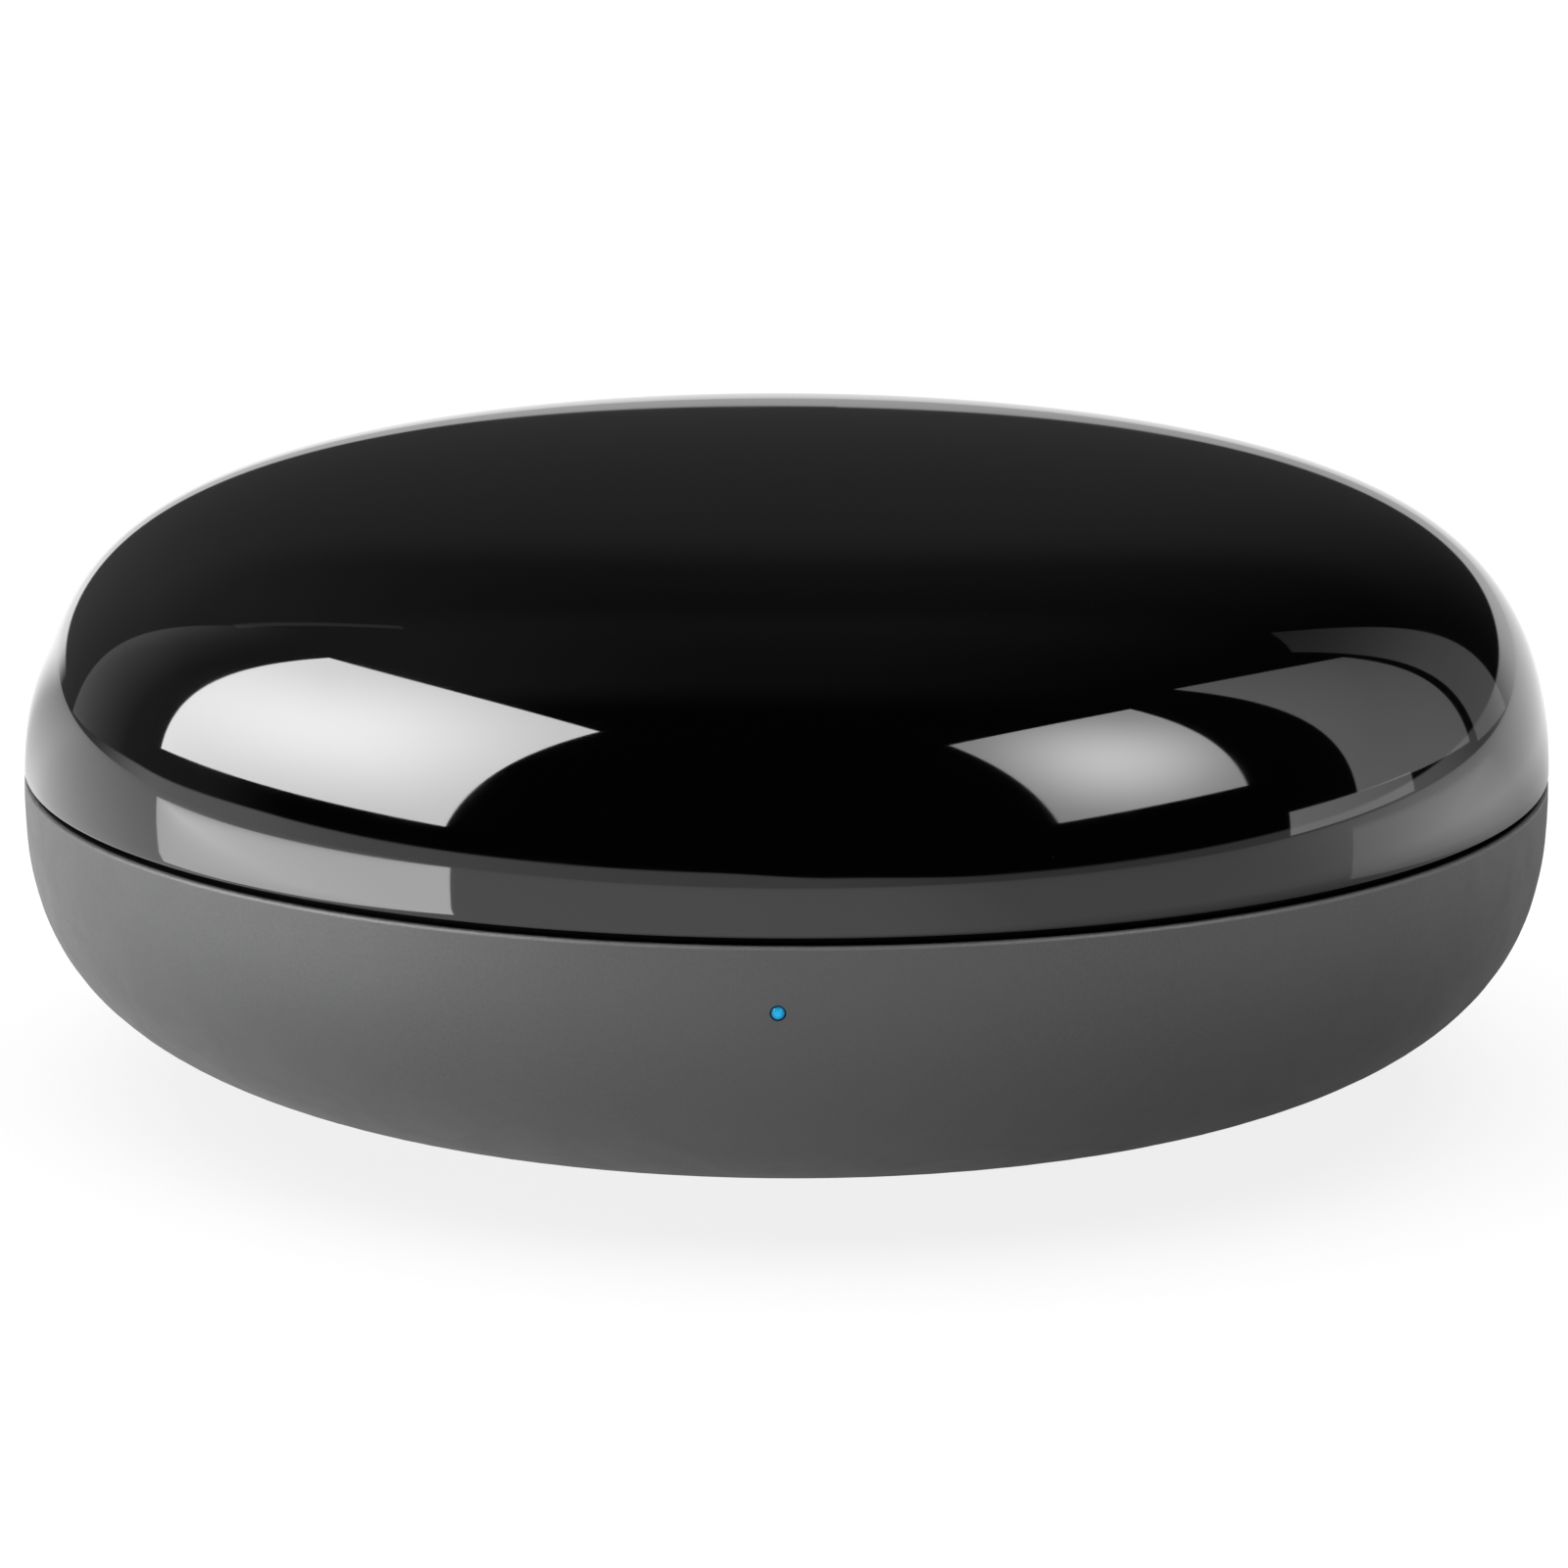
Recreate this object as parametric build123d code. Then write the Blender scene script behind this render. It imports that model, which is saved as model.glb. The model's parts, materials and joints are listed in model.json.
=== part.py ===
"""Round networked hub that learns and sends infrared and radio remote-control codes.

A pebble-shaped puck: an infrared-clear gloss cover over a matt shell, closed by four screws from
below, with one round board inside.  Millimetres, +Z up.  The origin is on the table under the
middle of the four feet.  The status light faces -Y and the power socket faces +Y.
"""
from build123d import *
import os
from math import cos, radians, sin

# ---- outer form ---------------------------------------------------------------------------------
BODY_RADIUS = 55.0          # at the seam, where the body is widest
COVER_HEIGHT = 22.9         # cover's rim to the crown
SHELL_DEPTH = 21.8          # shell's rim down to the flat of the base
BASE_FLAT_RADIUS = 23.0     # flat under the shell
SEAM_GAP = 0.5              # shadow gap between cover and shell
COVER_HANDLES = ((1.0, 1.022), (0.612, 0.85), (0.5, 1.0))  # rim to crown, shares of radius and height
SHELL_HANDLE = 0.357        # curve handle at the rim, as a share of the shell's depth
COVER_WALL = 2.0
SHELL_WALL = 2.2
RIM_FILLET = 0.25           # broken outer edge on both rims

# ---- tongue and rebate behind the seam -----------------------------------------------------------
LIP_INSET = 1.1             # outer skin to the outside of the shell's tongue
LIP_THICKNESS = 0.9
LIP_HEIGHT = 2.0            # above the shell's rim
LIP_CLEARANCE = 0.1

# ---- feet and label ------------------------------------------------------------------------------
FOOT_COUNT = 4
FOOT_RADIUS = 4.5
FOOT_FROM_FLAT_EDGE = 0.7
FOOT_PROUD = 1.0            # below the base
FOOT_POCKET_DEPTH = 0.8
FOOT_CLEARANCE = 0.1
FOOT_FILLET = 0.35
LABEL_LENGTH = 21.0
LABEL_WIDTH = 13.0
LABEL_THICKNESS = 0.15
LABEL_CORNER = 1.5
LABEL_POCKET_DEPTH = 0.3
LABEL_CLEARANCE = 0.25

# ---- screw posts that close the housing ----------------------------------------------------------
POST_COUNT = 4
POST_FROM_BOARD_EDGE = 9.5      # post's middle to the board's edge
COVER_POST_RADIUS = 3.5
SHELL_POST_RADIUS = 4.3
POST_JOINT_ABOVE_BASE = 12.0    # where the cover's post stands on the shell's post
WELL_RADIUS = 3.1               # open well that takes the screw's head
SEAT_ABOVE_BASE = 7.0           # where the head seats
HOUSING_SCREW_RADIUS = 1.3
HOUSING_SCREW_LENGTH = 10.0
HOUSING_HEAD_RADIUS = 2.5
HOUSING_HEAD_HEIGHT = 1.9
SCREW_CLEARANCE = 0.2
THREAD_CLEARANCE = 0.02
PILOT_SPARE = 1.0               # pilot bore past the end of the screw
POST_RIB_THICKNESS = 1.2
POST_RIB_LENGTH = 14.0
POST_RIB_HEIGHT = 9.0           # down from the underside of the crown

# ---- board ---------------------------------------------------------------------------------------
BOARD_THICKNESS = 1.6
BOARD_TOP_BELOW_SEAM = 6.0
BOARD_TO_WALL = 4.2
BOARD_TO_BAY = 1.5              # flat at the board's rear to the wall of the bay
BOARD_POST_CLEARANCE = 1.0
BOARD_SCREW_CIRCLE_RADIUS = 30.0
BOARD_SCREW_ANGLES = (30, 150, 270)
BOARD_SCREW_RADIUS = 1.0
BOARD_SCREW_LENGTH = 6.0
BOARD_HEAD_RADIUS = 1.9
BOARD_HEAD_HEIGHT = 1.3
STANDOFF_RADIUS = 3.0
STANDOFF_PILOT_DEPTH = 6.0

# ---- rear bay with the power socket and the reset key --------------------------------------------
BAY_WIDTH = 26.0
BAY_HEIGHT = 9.0
BAY_CORNER = 3.0
BAY_DEPTH = 4.7
BAY_WALL = 2.0
BAY_EDGE = 0.4
SOCKET_X = -4.5
SOCKET_WIDTH = 7.5
SOCKET_HEIGHT = 2.5
SOCKET_LENGTH = 5.6
SOCKET_WALL = 0.25
SOCKET_CORNER = 0.9             # cut corners on the side away from the board
SOCKET_BEHIND_FLOOR = 0.5
SOCKET_HOLE_CLEARANCE = 0.25
TONGUE_WIDTH = 3.7
TONGUE_THICKNESS = 0.6
CONTACT_COUNT = 5
CONTACT_PITCH = 0.65
CONTACT_WIDTH = 0.35
CONTACT_THICKNESS = 0.12

KEY_X = 7.5
KEY_RADIUS = 1.9
KEY_PROUD = 0.6
KEY_CLEARANCE = 0.08
KEY_FLANGE_RADIUS = 2.6
KEY_FLANGE_THICKNESS = 0.8
KEY_FLANGE_GAP = 0.05
KEY_FLANGE_CLEARANCE = 0.3      # round the flange, where the wall slopes in under it
KEY_FILLET = 0.35
KEY_TRAVEL = 0.3
SWITCH_WIDTH = 6.0
SWITCH_HEIGHT = 3.6
SWITCH_LENGTH = 3.5
SWITCH_FRAME_THICKNESS = 0.2
PLUNGER_WIDTH = 2.6
PLUNGER_HEIGHT = 1.3
PLUNGER_REACH = 1.5             # outside the switch
PLUNGER_INSIDE = 1.0
PLUNGER_CLEARANCE = 0.08

# ---- status light --------------------------------------------------------------------------------
LIGHT_BELOW_SEAM = 4.75
LIGHT_TIP_RADIUS = 0.5
LIGHT_TIP_PROUD = 0.12
LIGHT_HOLE_CLEARANCE = 0.05
LIGHT_BODY_RADIUS = 1.2
LIGHT_SLEEVE_WALL = 1.0
LIGHT_SLEEVE_LENGTH = 2.5
LIGHT_TO_BOARD = 0.3            # light pipe's end to the board's edge
LED_WIDTH = 3.0
LED_DEPTH = 1.2
LED_HEIGHT = 1.4
LED_FROM_EDGE = 0.2

# ---- infrared emitters and receiver --------------------------------------------------------------
EMITTER_COUNT = 6               # round the board, and one more upright in the middle
EMITTER_RADIUS = 2.5
EMITTER_BARREL = 6.2
EMITTER_FLANGE_RADIUS = 2.9
EMITTER_FLANGE_THICKNESS = 1.0
EMITTER_CIRCLE_RADIUS = 29.0    # where the leads enter the board
EMITTER_LIFT = 5.0              # emitter's base above the board
EMITTER_TILT = 30.0             # above the horizon
EMITTER_UPRIGHT_LIFT = 9.0
LEAD_PITCH = 2.54
LEAD_WIDTH = 0.5
LEAD_BEND_RADIUS = 0.8
LEAD_THROUGH = 2.6              # below the board's top face
LEAD_HOLE_RADIUS = 0.45
RECEIVER_Y = -21.0
RECEIVER_WIDTH = 6.0
RECEIVER_DEPTH = 3.6
RECEIVER_HEIGHT = 7.0
RECEIVER_LENS_RADIUS = 2.3
RECEIVER_LIFT = 1.6

# ---- modules and chips on the board --------------------------------------------------------------
WIFI_X = 0.0
WIFI_FROM_FLAT = 0.5            # module's end to the flat at the board's rear
WIFI_WIDTH = 16.0
WIFI_LENGTH = 24.0
WIFI_THICKNESS = 0.8
WIFI_PADS = 8                   # half-round pads along each long edge
WIFI_PAD_PITCH = 2.0
WIFI_PAD_RADIUS = 0.45
CAN_WALL = 0.2
WIFI_CAN = (12.4, 15.0, 2.3)
WIFI_CAN_BACK = 3.6             # can's middle, towards the board's middle
RADIO_CAN = (12.0, 10.0, 2.2)
RADIO_PLACE = (12.0, -6.0)
CAN_CORNER = 0.8
COIL_RADIUS = 2.1
COIL_WIRE_RADIUS = 0.4
COIL_PITCH = 1.4
COIL_LIFT = 1.6
COILS = {"rf_antenna_433": (21.0, -13.5, 9), "rf_antenna_315": (20.0, 8.5, 12)}
CHIP_PLACE = (-12.0, -6.0)
CHIP_SIZE = 7.0
CHIP_HEIGHT = 1.4
CHIP_STAND_OFF = 0.1
PINS_A_SIDE = 12
PIN_PITCH = 0.5
PIN_WIDTH = 0.22
PIN_THICKNESS = 0.13
PIN_REACH = 1.0
FLASH_PLACE = (0.5, -13.5)
FLASH_SIZE = (5.0, 4.0, 1.5)
REGULATOR_PLACE = (-22.0, -8.0)
REGULATOR_SIZE = (6.5, 3.5, 1.6)
REGULATOR_TAB = (3.0, 1.6, 0.3)
INDUCTOR_PLACE = (-22.0, 7.0)
INDUCTOR_SIZE = 7.0
INDUCTOR_HEIGHT = 4.0
CAPACITOR_PLACE = (-12.5, 11.0)
CAPACITOR_RADIUS = 3.15
CAPACITOR_HEIGHT = 6.8
CAPACITOR_BASE = 6.6
CAPACITOR_BASE_HEIGHT = 0.9
CRYSTAL_PLACE = (-12.0, -14.2)
CRYSTAL_SIZE = (11.0, 4.6, 3.4)
DRIVER_CIRCLE_RADIUS = 24.3
DRIVER_SIZE = (1.4, 2.9, 1.0)
RESISTOR_CIRCLE_RADIUS = 20.7
RESISTOR_SIZE = (0.9, 1.6, 0.5)
DECOUPLER_SIZE = (0.9, 1.6, 0.8)
DECOUPLER_OFFSETS = (-4.5, -1.5, 1.5, 4.5)
DECOUPLER_Y = 0.6
WIFI_DECOUPLERS = ((-10.5, -2.5), (10.5, -2.5), (-10.5, 7.5), (10.5, 7.5))

# ---- levels --------------------------------------------------------------------------------------
BASE_Z = FOOT_PROUD
SHELL_RIM_Z = BASE_Z + SHELL_DEPTH
COVER_RIM_Z = SHELL_RIM_Z + SEAM_GAP
SEAM_Z = SHELL_RIM_Z + SEAM_GAP / 2
CROWN_Z = COVER_RIM_Z + COVER_HEIGHT
BOARD_TOP_Z = SEAM_Z - BOARD_TOP_BELOW_SEAM
BOARD_UNDER_Z = BOARD_TOP_Z - BOARD_THICKNESS
POST_JOINT_Z = BASE_Z + POST_JOINT_ABOVE_BASE
SEAT_Z = BASE_Z + SEAT_ABOVE_BASE
SOCKET_Z = BOARD_UNDER_Z - SOCKET_HEIGHT / 2
KEY_Z = BOARD_UNDER_Z - SWITCH_HEIGHT / 2
BAY_Z = (SOCKET_Z + KEY_Z) / 2
LIGHT_Z = SEAM_Z - LIGHT_BELOW_SEAM


def shell_curve(inset):
    """The shell's side in section, taken in by inset: out along X, up along Y."""
    rim = BODY_RADIUS - inset
    base = BASE_Z + inset
    handle = SHELL_RIM_Z - SHELL_HANDLE * (SHELL_RIM_Z - base)
    return Bezier((rim, SHELL_RIM_Z), (rim, handle), (rim, base), (BASE_FLAT_RADIUS, base))


def skin_radius(level):
    """The shell's outer radius at a level, found by halving."""
    curve = shell_curve(0)
    above = 0.0
    below = 1.0
    for _ in range(40):
        middle = (above + below) / 2
        if (curve @ middle).Y > level:
            above = middle
        else:
            below = middle
    return (curve @ above).X


# ---- places measured out from the middle ---------------------------------------------------------
FOOT_CIRCLE_RADIUS = BASE_FLAT_RADIUS - FOOT_RADIUS - FOOT_FROM_FLAT_EDGE
BOARD_RADIUS = skin_radius(BOARD_UNDER_Z) - SHELL_WALL - BOARD_TO_WALL
POST_CIRCLE_RADIUS = BOARD_RADIUS - POST_FROM_BOARD_EDGE
BAY_FLOOR = skin_radius(BAY_Z) - BAY_DEPTH
BAY_INNER = BAY_FLOOR - BAY_WALL
BOARD_REAR_FLAT = BAY_INNER - BOARD_TO_BAY
WIFI_Y = BOARD_REAR_FLAT - WIFI_FROM_FLAT - WIFI_LENGTH / 2
FLANGE_FRONT = BAY_INNER - KEY_FLANGE_GAP
FLANGE_BACK = FLANGE_FRONT - KEY_FLANGE_THICKNESS
SWITCH_FRONT = FLANGE_BACK - PLUNGER_REACH
LIGHT_INNER_END = BOARD_RADIUS + LIGHT_TO_BOARD
LIGHT_SHOULDER = skin_radius(LIGHT_Z) - SHELL_WALL
LOW = (Align.CENTER, Align.CENTER, Align.MIN)
HIGH = (Align.CENTER, Align.CENTER, Align.MAX)
FAR = 2 * BODY_RADIUS           # longer than any way through the body


# ---- helpers -------------------------------------------------------------------------------------
def ring_of(count, radius, start=0.0):
    """Angle, x and y of each of count places round a circle."""
    angles = [start + 360.0 * i / count for i in range(count)]
    return [(a, radius * cos(radians(a)), radius * sin(radians(a))) for a in angles]


def post_places():
    return ring_of(POST_COUNT, POST_CIRCLE_RADIUS, 180.0 / POST_COUNT)


def board_screw_places():
    places = []
    for angle in BOARD_SCREW_ANGLES:
        turn = radians(angle)
        places.append((BOARD_SCREW_CIRCLE_RADIUS * cos(turn), BOARD_SCREW_CIRCLE_RADIUS * sin(turn)))
    return places


def group(solids):
    return Compound(children=list(solids))


def along_y(radius, start, end, x, z):
    """A round bar along Y from start to end."""
    bar = Cylinder(radius, end - start, align=LOW)
    return Pos(x, start, z) * Rot(-90, 0, 0) * bar


def brick(size, x, y, z, corner=0.0):
    """A block on the level z, with its upright edges rounded by corner."""
    block = Box(*size, align=LOW)
    if corner:
        block = fillet(block.edges().filter_by(Axis.Z), corner)
    return Pos(x, y, z) * block


def cover_form(inset):
    """The solid under the cover's outside, taken in by inset."""
    rim = BODY_RADIUS - inset
    rise = COVER_HEIGHT - inset
    crown = COVER_RIM_Z + rise
    handles = [(rim * out, COVER_RIM_Z + rise * up) for out, up in COVER_HANDLES]
    curve = Bezier((rim, COVER_RIM_Z), *handles, (0, crown))
    sides = Polyline((0, crown), (0, COVER_RIM_Z), (rim, COVER_RIM_Z))
    return revolve(Plane.XZ * make_face([curve, sides]), Axis.Z)


def shell_form(inset):
    """The solid inside the shell's outside, taken in by inset."""
    curve = shell_curve(inset)
    sides = Polyline(curve @ 1, (0, BASE_Z + inset), (0, SHELL_RIM_Z), curve @ 0)
    return revolve(Plane.XZ * make_face([curve, sides]), Axis.Z)


def outer_rim(part, level):
    """The rim edge of a shell on its outside."""
    edges = part.edges().filter_by(GeomType.CIRCLE)
    return [e for e in edges if abs(e.center().Z - level) < 1e-3 and abs(e.radius - BODY_RADIUS) < 1e-3]


def screw(radius, length, head_radius, head_height, drive):
    """A pan-head screw with a cross recess, its shank along +Z from the head's underside at 0."""
    shank = Cylinder(radius, length, align=LOW)
    tip = chamfer(shank.edges().group_by(Axis.Z)[-1], radius * 0.45)
    head = Cylinder(head_radius, head_height, align=HIGH)
    head = fillet(head.edges().group_by(Axis.Z)[0], head_height * 0.55)
    cross = Box(drive, drive / 4, head_height * 0.6, align=LOW)
    cross += Rot(0, 0, 90) * cross
    return tip + head - Pos(0, 0, -head_height) * cross


# ---- housing -------------------------------------------------------------------------------------
def make_top_cover():
    cover = cover_form(0)
    cover = fillet(outer_rim(cover, COVER_RIM_Z), RIM_FILLET)
    cover -= cover_form(COVER_WALL)
    rebate_top = SHELL_RIM_Z + LIP_HEIGHT + LIP_CLEARANCE
    rebate = Cylinder(BODY_RADIUS - LIP_INSET + LIP_CLEARANCE, rebate_top - COVER_RIM_Z, align=LOW)
    cover -= Pos(0, 0, COVER_RIM_Z) * rebate
    ceiling = cover_form(COVER_WALL / 2)
    rib_base = CROWN_Z - COVER_WALL - POST_RIB_HEIGHT
    for angle, x, y in post_places():
        post = Pos(x, y, POST_JOINT_Z) * Cylinder(COVER_POST_RADIUS, CROWN_Z - POST_JOINT_Z, align=LOW)
        above_rim = post & ceiling
        below_rim = Pos(x, y, POST_JOINT_Z) * Cylinder(
            COVER_POST_RADIUS, COVER_RIM_Z - POST_JOINT_Z, align=LOW
        )
        rib = Box(POST_RIB_LENGTH, POST_RIB_THICKNESS, CROWN_Z - rib_base, align=LOW)
        rib = Pos(x, y, rib_base) * Rot(0, 0, angle) * rib & ceiling
        cover += above_rim + below_rim + rib
    depth = SEAT_Z + HOUSING_SCREW_LENGTH + PILOT_SPARE - POST_JOINT_Z
    pilot = Cylinder(HOUSING_SCREW_RADIUS + THREAD_CLEARANCE, depth, align=LOW)
    for _, x, y in post_places():
        cover -= Pos(x, y, POST_JOINT_Z) * pilot
    return cover


def bay_cutter(grow=0.0, start=BAY_FLOOR, end=FAR):
    """A rounded block through the rear wall, from start outwards."""
    block = Box(BAY_WIDTH + 2 * grow, end - start, BAY_HEIGHT + 2 * grow)
    block = fillet(block.edges().filter_by(Axis.Y), BAY_CORNER + grow)
    return Pos(0, (start + end) / 2, BAY_Z) * block


def make_bottom_shell():
    outside = shell_form(0)
    outside = fillet(outer_rim(outside, SHELL_RIM_Z), RIM_FILLET)
    shell = outside - shell_form(SHELL_WALL)
    skin = shell_form(SHELL_WALL / 2)
    tongue = Cylinder(BODY_RADIUS - LIP_INSET, LIP_HEIGHT + 1, align=LOW)
    tongue -= Cylinder(BODY_RADIUS - LIP_INSET - LIP_THICKNESS, LIP_HEIGHT + 1, align=LOW)
    shell += Pos(0, 0, SHELL_RIM_Z - 1) * tongue
    for _, x, y in post_places():
        post = Pos(x, y, BASE_Z) * Cylinder(SHELL_POST_RADIUS, POST_JOINT_Z - BASE_Z, align=LOW)
        shell += post & skin
    for x, y in board_screw_places():
        standoff = Pos(x, y, BASE_Z) * Cylinder(STANDOFF_RADIUS, BOARD_UNDER_Z - BASE_Z, align=LOW)
        shell += standoff & skin
    shell += bay_cutter(BAY_WALL, BAY_INNER) & skin
    sleeve_start = -LIGHT_SHOULDER - SHELL_WALL
    sleeve_end = -LIGHT_SHOULDER + LIGHT_SLEEVE_LENGTH
    sleeve = along_y(LIGHT_BODY_RADIUS + LIGHT_SLEEVE_WALL, sleeve_start, sleeve_end, 0, LIGHT_Z)
    shell += sleeve & skin
    shell -= bay_cutter()
    shell -= housing_cuts()
    shell -= board_pilots()
    shell -= light_cuts()
    shell -= socket_cuts()
    return shell


def housing_cuts():
    """Screw wells with their clearance holes, foot pockets and the label's pocket."""
    cuts = []
    for _, x, y in post_places():
        cuts.append(Pos(x, y, 0) * Cylinder(WELL_RADIUS, SEAT_Z, align=LOW))
        cuts.append(Pos(x, y, 0) * Cylinder(HOUSING_SCREW_RADIUS + SCREW_CLEARANCE, FAR, align=LOW))
    for x, y in foot_places():
        pocket = Cylinder(FOOT_RADIUS + FOOT_CLEARANCE, FOOT_POCKET_DEPTH + BASE_Z, align=LOW)
        cuts.append(Pos(x, y, 0) * pocket)
    length = LABEL_LENGTH + 2 * LABEL_CLEARANCE
    width = LABEL_WIDTH + 2 * LABEL_CLEARANCE
    cuts.append(brick((length, width, BASE_Z + LABEL_POCKET_DEPTH), 0, 0, 0, LABEL_CORNER))
    return cuts


def board_pilots():
    pilot = Cylinder(BOARD_SCREW_RADIUS + THREAD_CLEARANCE, STANDOFF_PILOT_DEPTH, align=HIGH)
    return [Pos(x, y, BOARD_UNDER_Z) * pilot for x, y in board_screw_places()]


def light_cuts():
    """The hole for the light pipe's tip, and the sleeve that holds its body."""
    tip = along_y(LIGHT_TIP_RADIUS + LIGHT_HOLE_CLEARANCE, -FAR, -LIGHT_INNER_END, 0, LIGHT_Z)
    body_radius = LIGHT_BODY_RADIUS + LIGHT_HOLE_CLEARANCE
    body = along_y(body_radius, -LIGHT_SHOULDER, -LIGHT_INNER_END + 1, 0, LIGHT_Z)
    return [tip, body]


def socket_cuts():
    width = SOCKET_WIDTH + 2 * SOCKET_HOLE_CLEARANCE
    height = SOCKET_HEIGHT + 2 * SOCKET_HOLE_CLEARANCE
    window = Box(width, 3 * BAY_WALL, height)
    window = fillet(window.edges().filter_by(Axis.Y), SOCKET_HOLE_CLEARANCE + 0.5)
    key_hole = along_y(KEY_RADIUS + KEY_CLEARANCE, BAY_INNER - BAY_WALL, BAY_FLOOR + BAY_WALL, KEY_X, KEY_Z)
    relief_radius = KEY_FLANGE_RADIUS + KEY_FLANGE_CLEARANCE
    relief = along_y(relief_radius, SWITCH_FRONT, BAY_INNER, KEY_X, KEY_Z)
    return [Pos(SOCKET_X, BAY_FLOOR - BAY_WALL / 2, SOCKET_Z) * window, key_hole, relief]


def foot_places():
    return [(x, y) for _, x, y in ring_of(FOOT_COUNT, FOOT_CIRCLE_RADIUS, 180.0 / FOOT_COUNT)]


def make_foot(x, y):
    foot = Cylinder(FOOT_RADIUS, FOOT_PROUD + FOOT_POCKET_DEPTH, align=LOW)
    foot = fillet(foot.edges().group_by(Axis.Z)[0], FOOT_FILLET)
    return Pos(x, y, 0) * foot


def make_label():
    label = (LABEL_LENGTH, LABEL_WIDTH, LABEL_THICKNESS)
    return brick(label, 0, 0, BASE_Z + LABEL_POCKET_DEPTH - LABEL_THICKNESS, LABEL_CORNER)


def make_housing_screws():
    one = screw(
        HOUSING_SCREW_RADIUS, HOUSING_SCREW_LENGTH, HOUSING_HEAD_RADIUS, HOUSING_HEAD_HEIGHT, 2.6
    )
    return group(Pos(x, y, SEAT_Z) * one for _, x, y in post_places())


# ---- board and what is screwed to it -------------------------------------------------------------
def make_board():
    board = Cylinder(BOARD_RADIUS, BOARD_THICKNESS, align=LOW)
    board &= Pos(0, BOARD_REAR_FLAT, 0) * Box(FAR, FAR, FAR, align=(Align.CENTER, Align.MAX, Align.CENTER))
    holes = []
    for _, x, y in post_places():
        holes.append(Pos(x, y, 0) * Cylinder(COVER_POST_RADIUS + BOARD_POST_CLEARANCE, FAR))
    for x, y in board_screw_places():
        holes.append(Pos(x, y, 0) * Cylinder(BOARD_SCREW_RADIUS + SCREW_CLEARANCE, FAR))
    for x, y in lead_places() + receiver_lead_places():
        holes.append(Pos(x, y, 0) * Cylinder(LEAD_HOLE_RADIUS, FAR))
    for x, y, _ in COILS.values():
        holes.append(Pos(x + COIL_RADIUS, y, 0) * Cylinder(COIL_WIRE_RADIUS + 0.1, FAR))
    return Pos(0, 0, BOARD_UNDER_Z) * (board - holes)


def make_board_screws():
    one = screw(BOARD_SCREW_RADIUS, BOARD_SCREW_LENGTH, BOARD_HEAD_RADIUS, BOARD_HEAD_HEIGHT, 2.0)
    upside_down = Rot(180, 0, 0) * one
    return group(Pos(x, y, BOARD_TOP_Z) * upside_down for x, y in board_screw_places())


# ---- power socket --------------------------------------------------------------------------------
def socket_section(inset):
    half = SOCKET_WIDTH / 2 - inset
    top = SOCKET_HEIGHT / 2 - inset
    cut = SOCKET_CORNER - inset / 2
    points = [(-half, top), (half, top), (half, -top + cut), (half - cut, -top)]
    points += [(-half + cut, -top), (-half, -top + cut)]
    return make_face(Polyline(*points, close=True))


def socket_block(inset, start, end):
    """The socket's outline, taken in by inset, from start to end along Y."""
    section = Plane(origin=(SOCKET_X, end, SOCKET_Z), x_dir=(1, 0, 0), z_dir=(0, -1, 0))
    return extrude(section * socket_section(inset), end - start)


def socket_mouth():
    return BAY_FLOOR - SOCKET_BEHIND_FLOOR


def make_socket_shell():
    mouth = socket_mouth()
    back = mouth - SOCKET_LENGTH
    return socket_block(0, back, mouth) - socket_block(SOCKET_WALL, back + SOCKET_WALL, mouth + 1)


def make_socket_tongue():
    """The insulator: a block at the back of the socket and the tongue that carries the contacts."""
    mouth = socket_mouth()
    back = mouth - SOCKET_LENGTH + SOCKET_WALL
    block = socket_block(SOCKET_WALL + 0.02, back, back + 1.3)
    tongue = Box(TONGUE_WIDTH, SOCKET_LENGTH - 1.6, TONGUE_THICKNESS)
    return block + Pos(SOCKET_X, back + (SOCKET_LENGTH - 1.6) / 2, SOCKET_Z + 0.2) * tongue


def make_socket_contacts():
    mouth = socket_mouth()
    length = SOCKET_LENGTH - 3.2
    start = mouth - SOCKET_LENGTH + SOCKET_WALL + 1.3
    under = SOCKET_Z + 0.2 - TONGUE_THICKNESS / 2 - CONTACT_THICKNESS / 2
    first = -(CONTACT_COUNT - 1) / 2 * CONTACT_PITCH
    strip = Box(CONTACT_WIDTH, length, CONTACT_THICKNESS)
    places = [SOCKET_X + first + i * CONTACT_PITCH for i in range(CONTACT_COUNT)]
    return group(Pos(x, start + length / 2, under) * strip for x in places)


# ---- reset key and its switch --------------------------------------------------------------------
def make_reset_key():
    cap = along_y(KEY_RADIUS, FLANGE_BACK, BAY_FLOOR + KEY_PROUD, KEY_X, KEY_Z)
    cap = fillet(cap.edges().group_by(Axis.Y)[-1], KEY_FILLET)
    return cap + along_y(KEY_FLANGE_RADIUS, FLANGE_BACK, FLANGE_FRONT, KEY_X, KEY_Z)


def make_switch_plunger():
    length = PLUNGER_REACH + PLUNGER_INSIDE
    block = Box(PLUNGER_WIDTH, length, PLUNGER_HEIGHT)
    return Pos(KEY_X, FLANGE_BACK - length / 2, KEY_Z) * block


def make_switch_body():
    block = Box(SWITCH_WIDTH, SWITCH_LENGTH, SWITCH_HEIGHT)
    block = chamfer(block.edges().filter_by(Axis.Y).group_by(Axis.Z)[0], 0.4)
    slot_depth = PLUNGER_INSIDE + KEY_TRAVEL + 0.2
    slot_width = PLUNGER_WIDTH + 2 * PLUNGER_CLEARANCE
    slot = Box(slot_width, slot_depth, PLUNGER_HEIGHT + 2 * PLUNGER_CLEARANCE)
    block -= Pos(0, (SWITCH_LENGTH - slot_depth) / 2, 0) * slot
    return Pos(KEY_X, SWITCH_FRONT - SWITCH_LENGTH / 2, KEY_Z) * block


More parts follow.
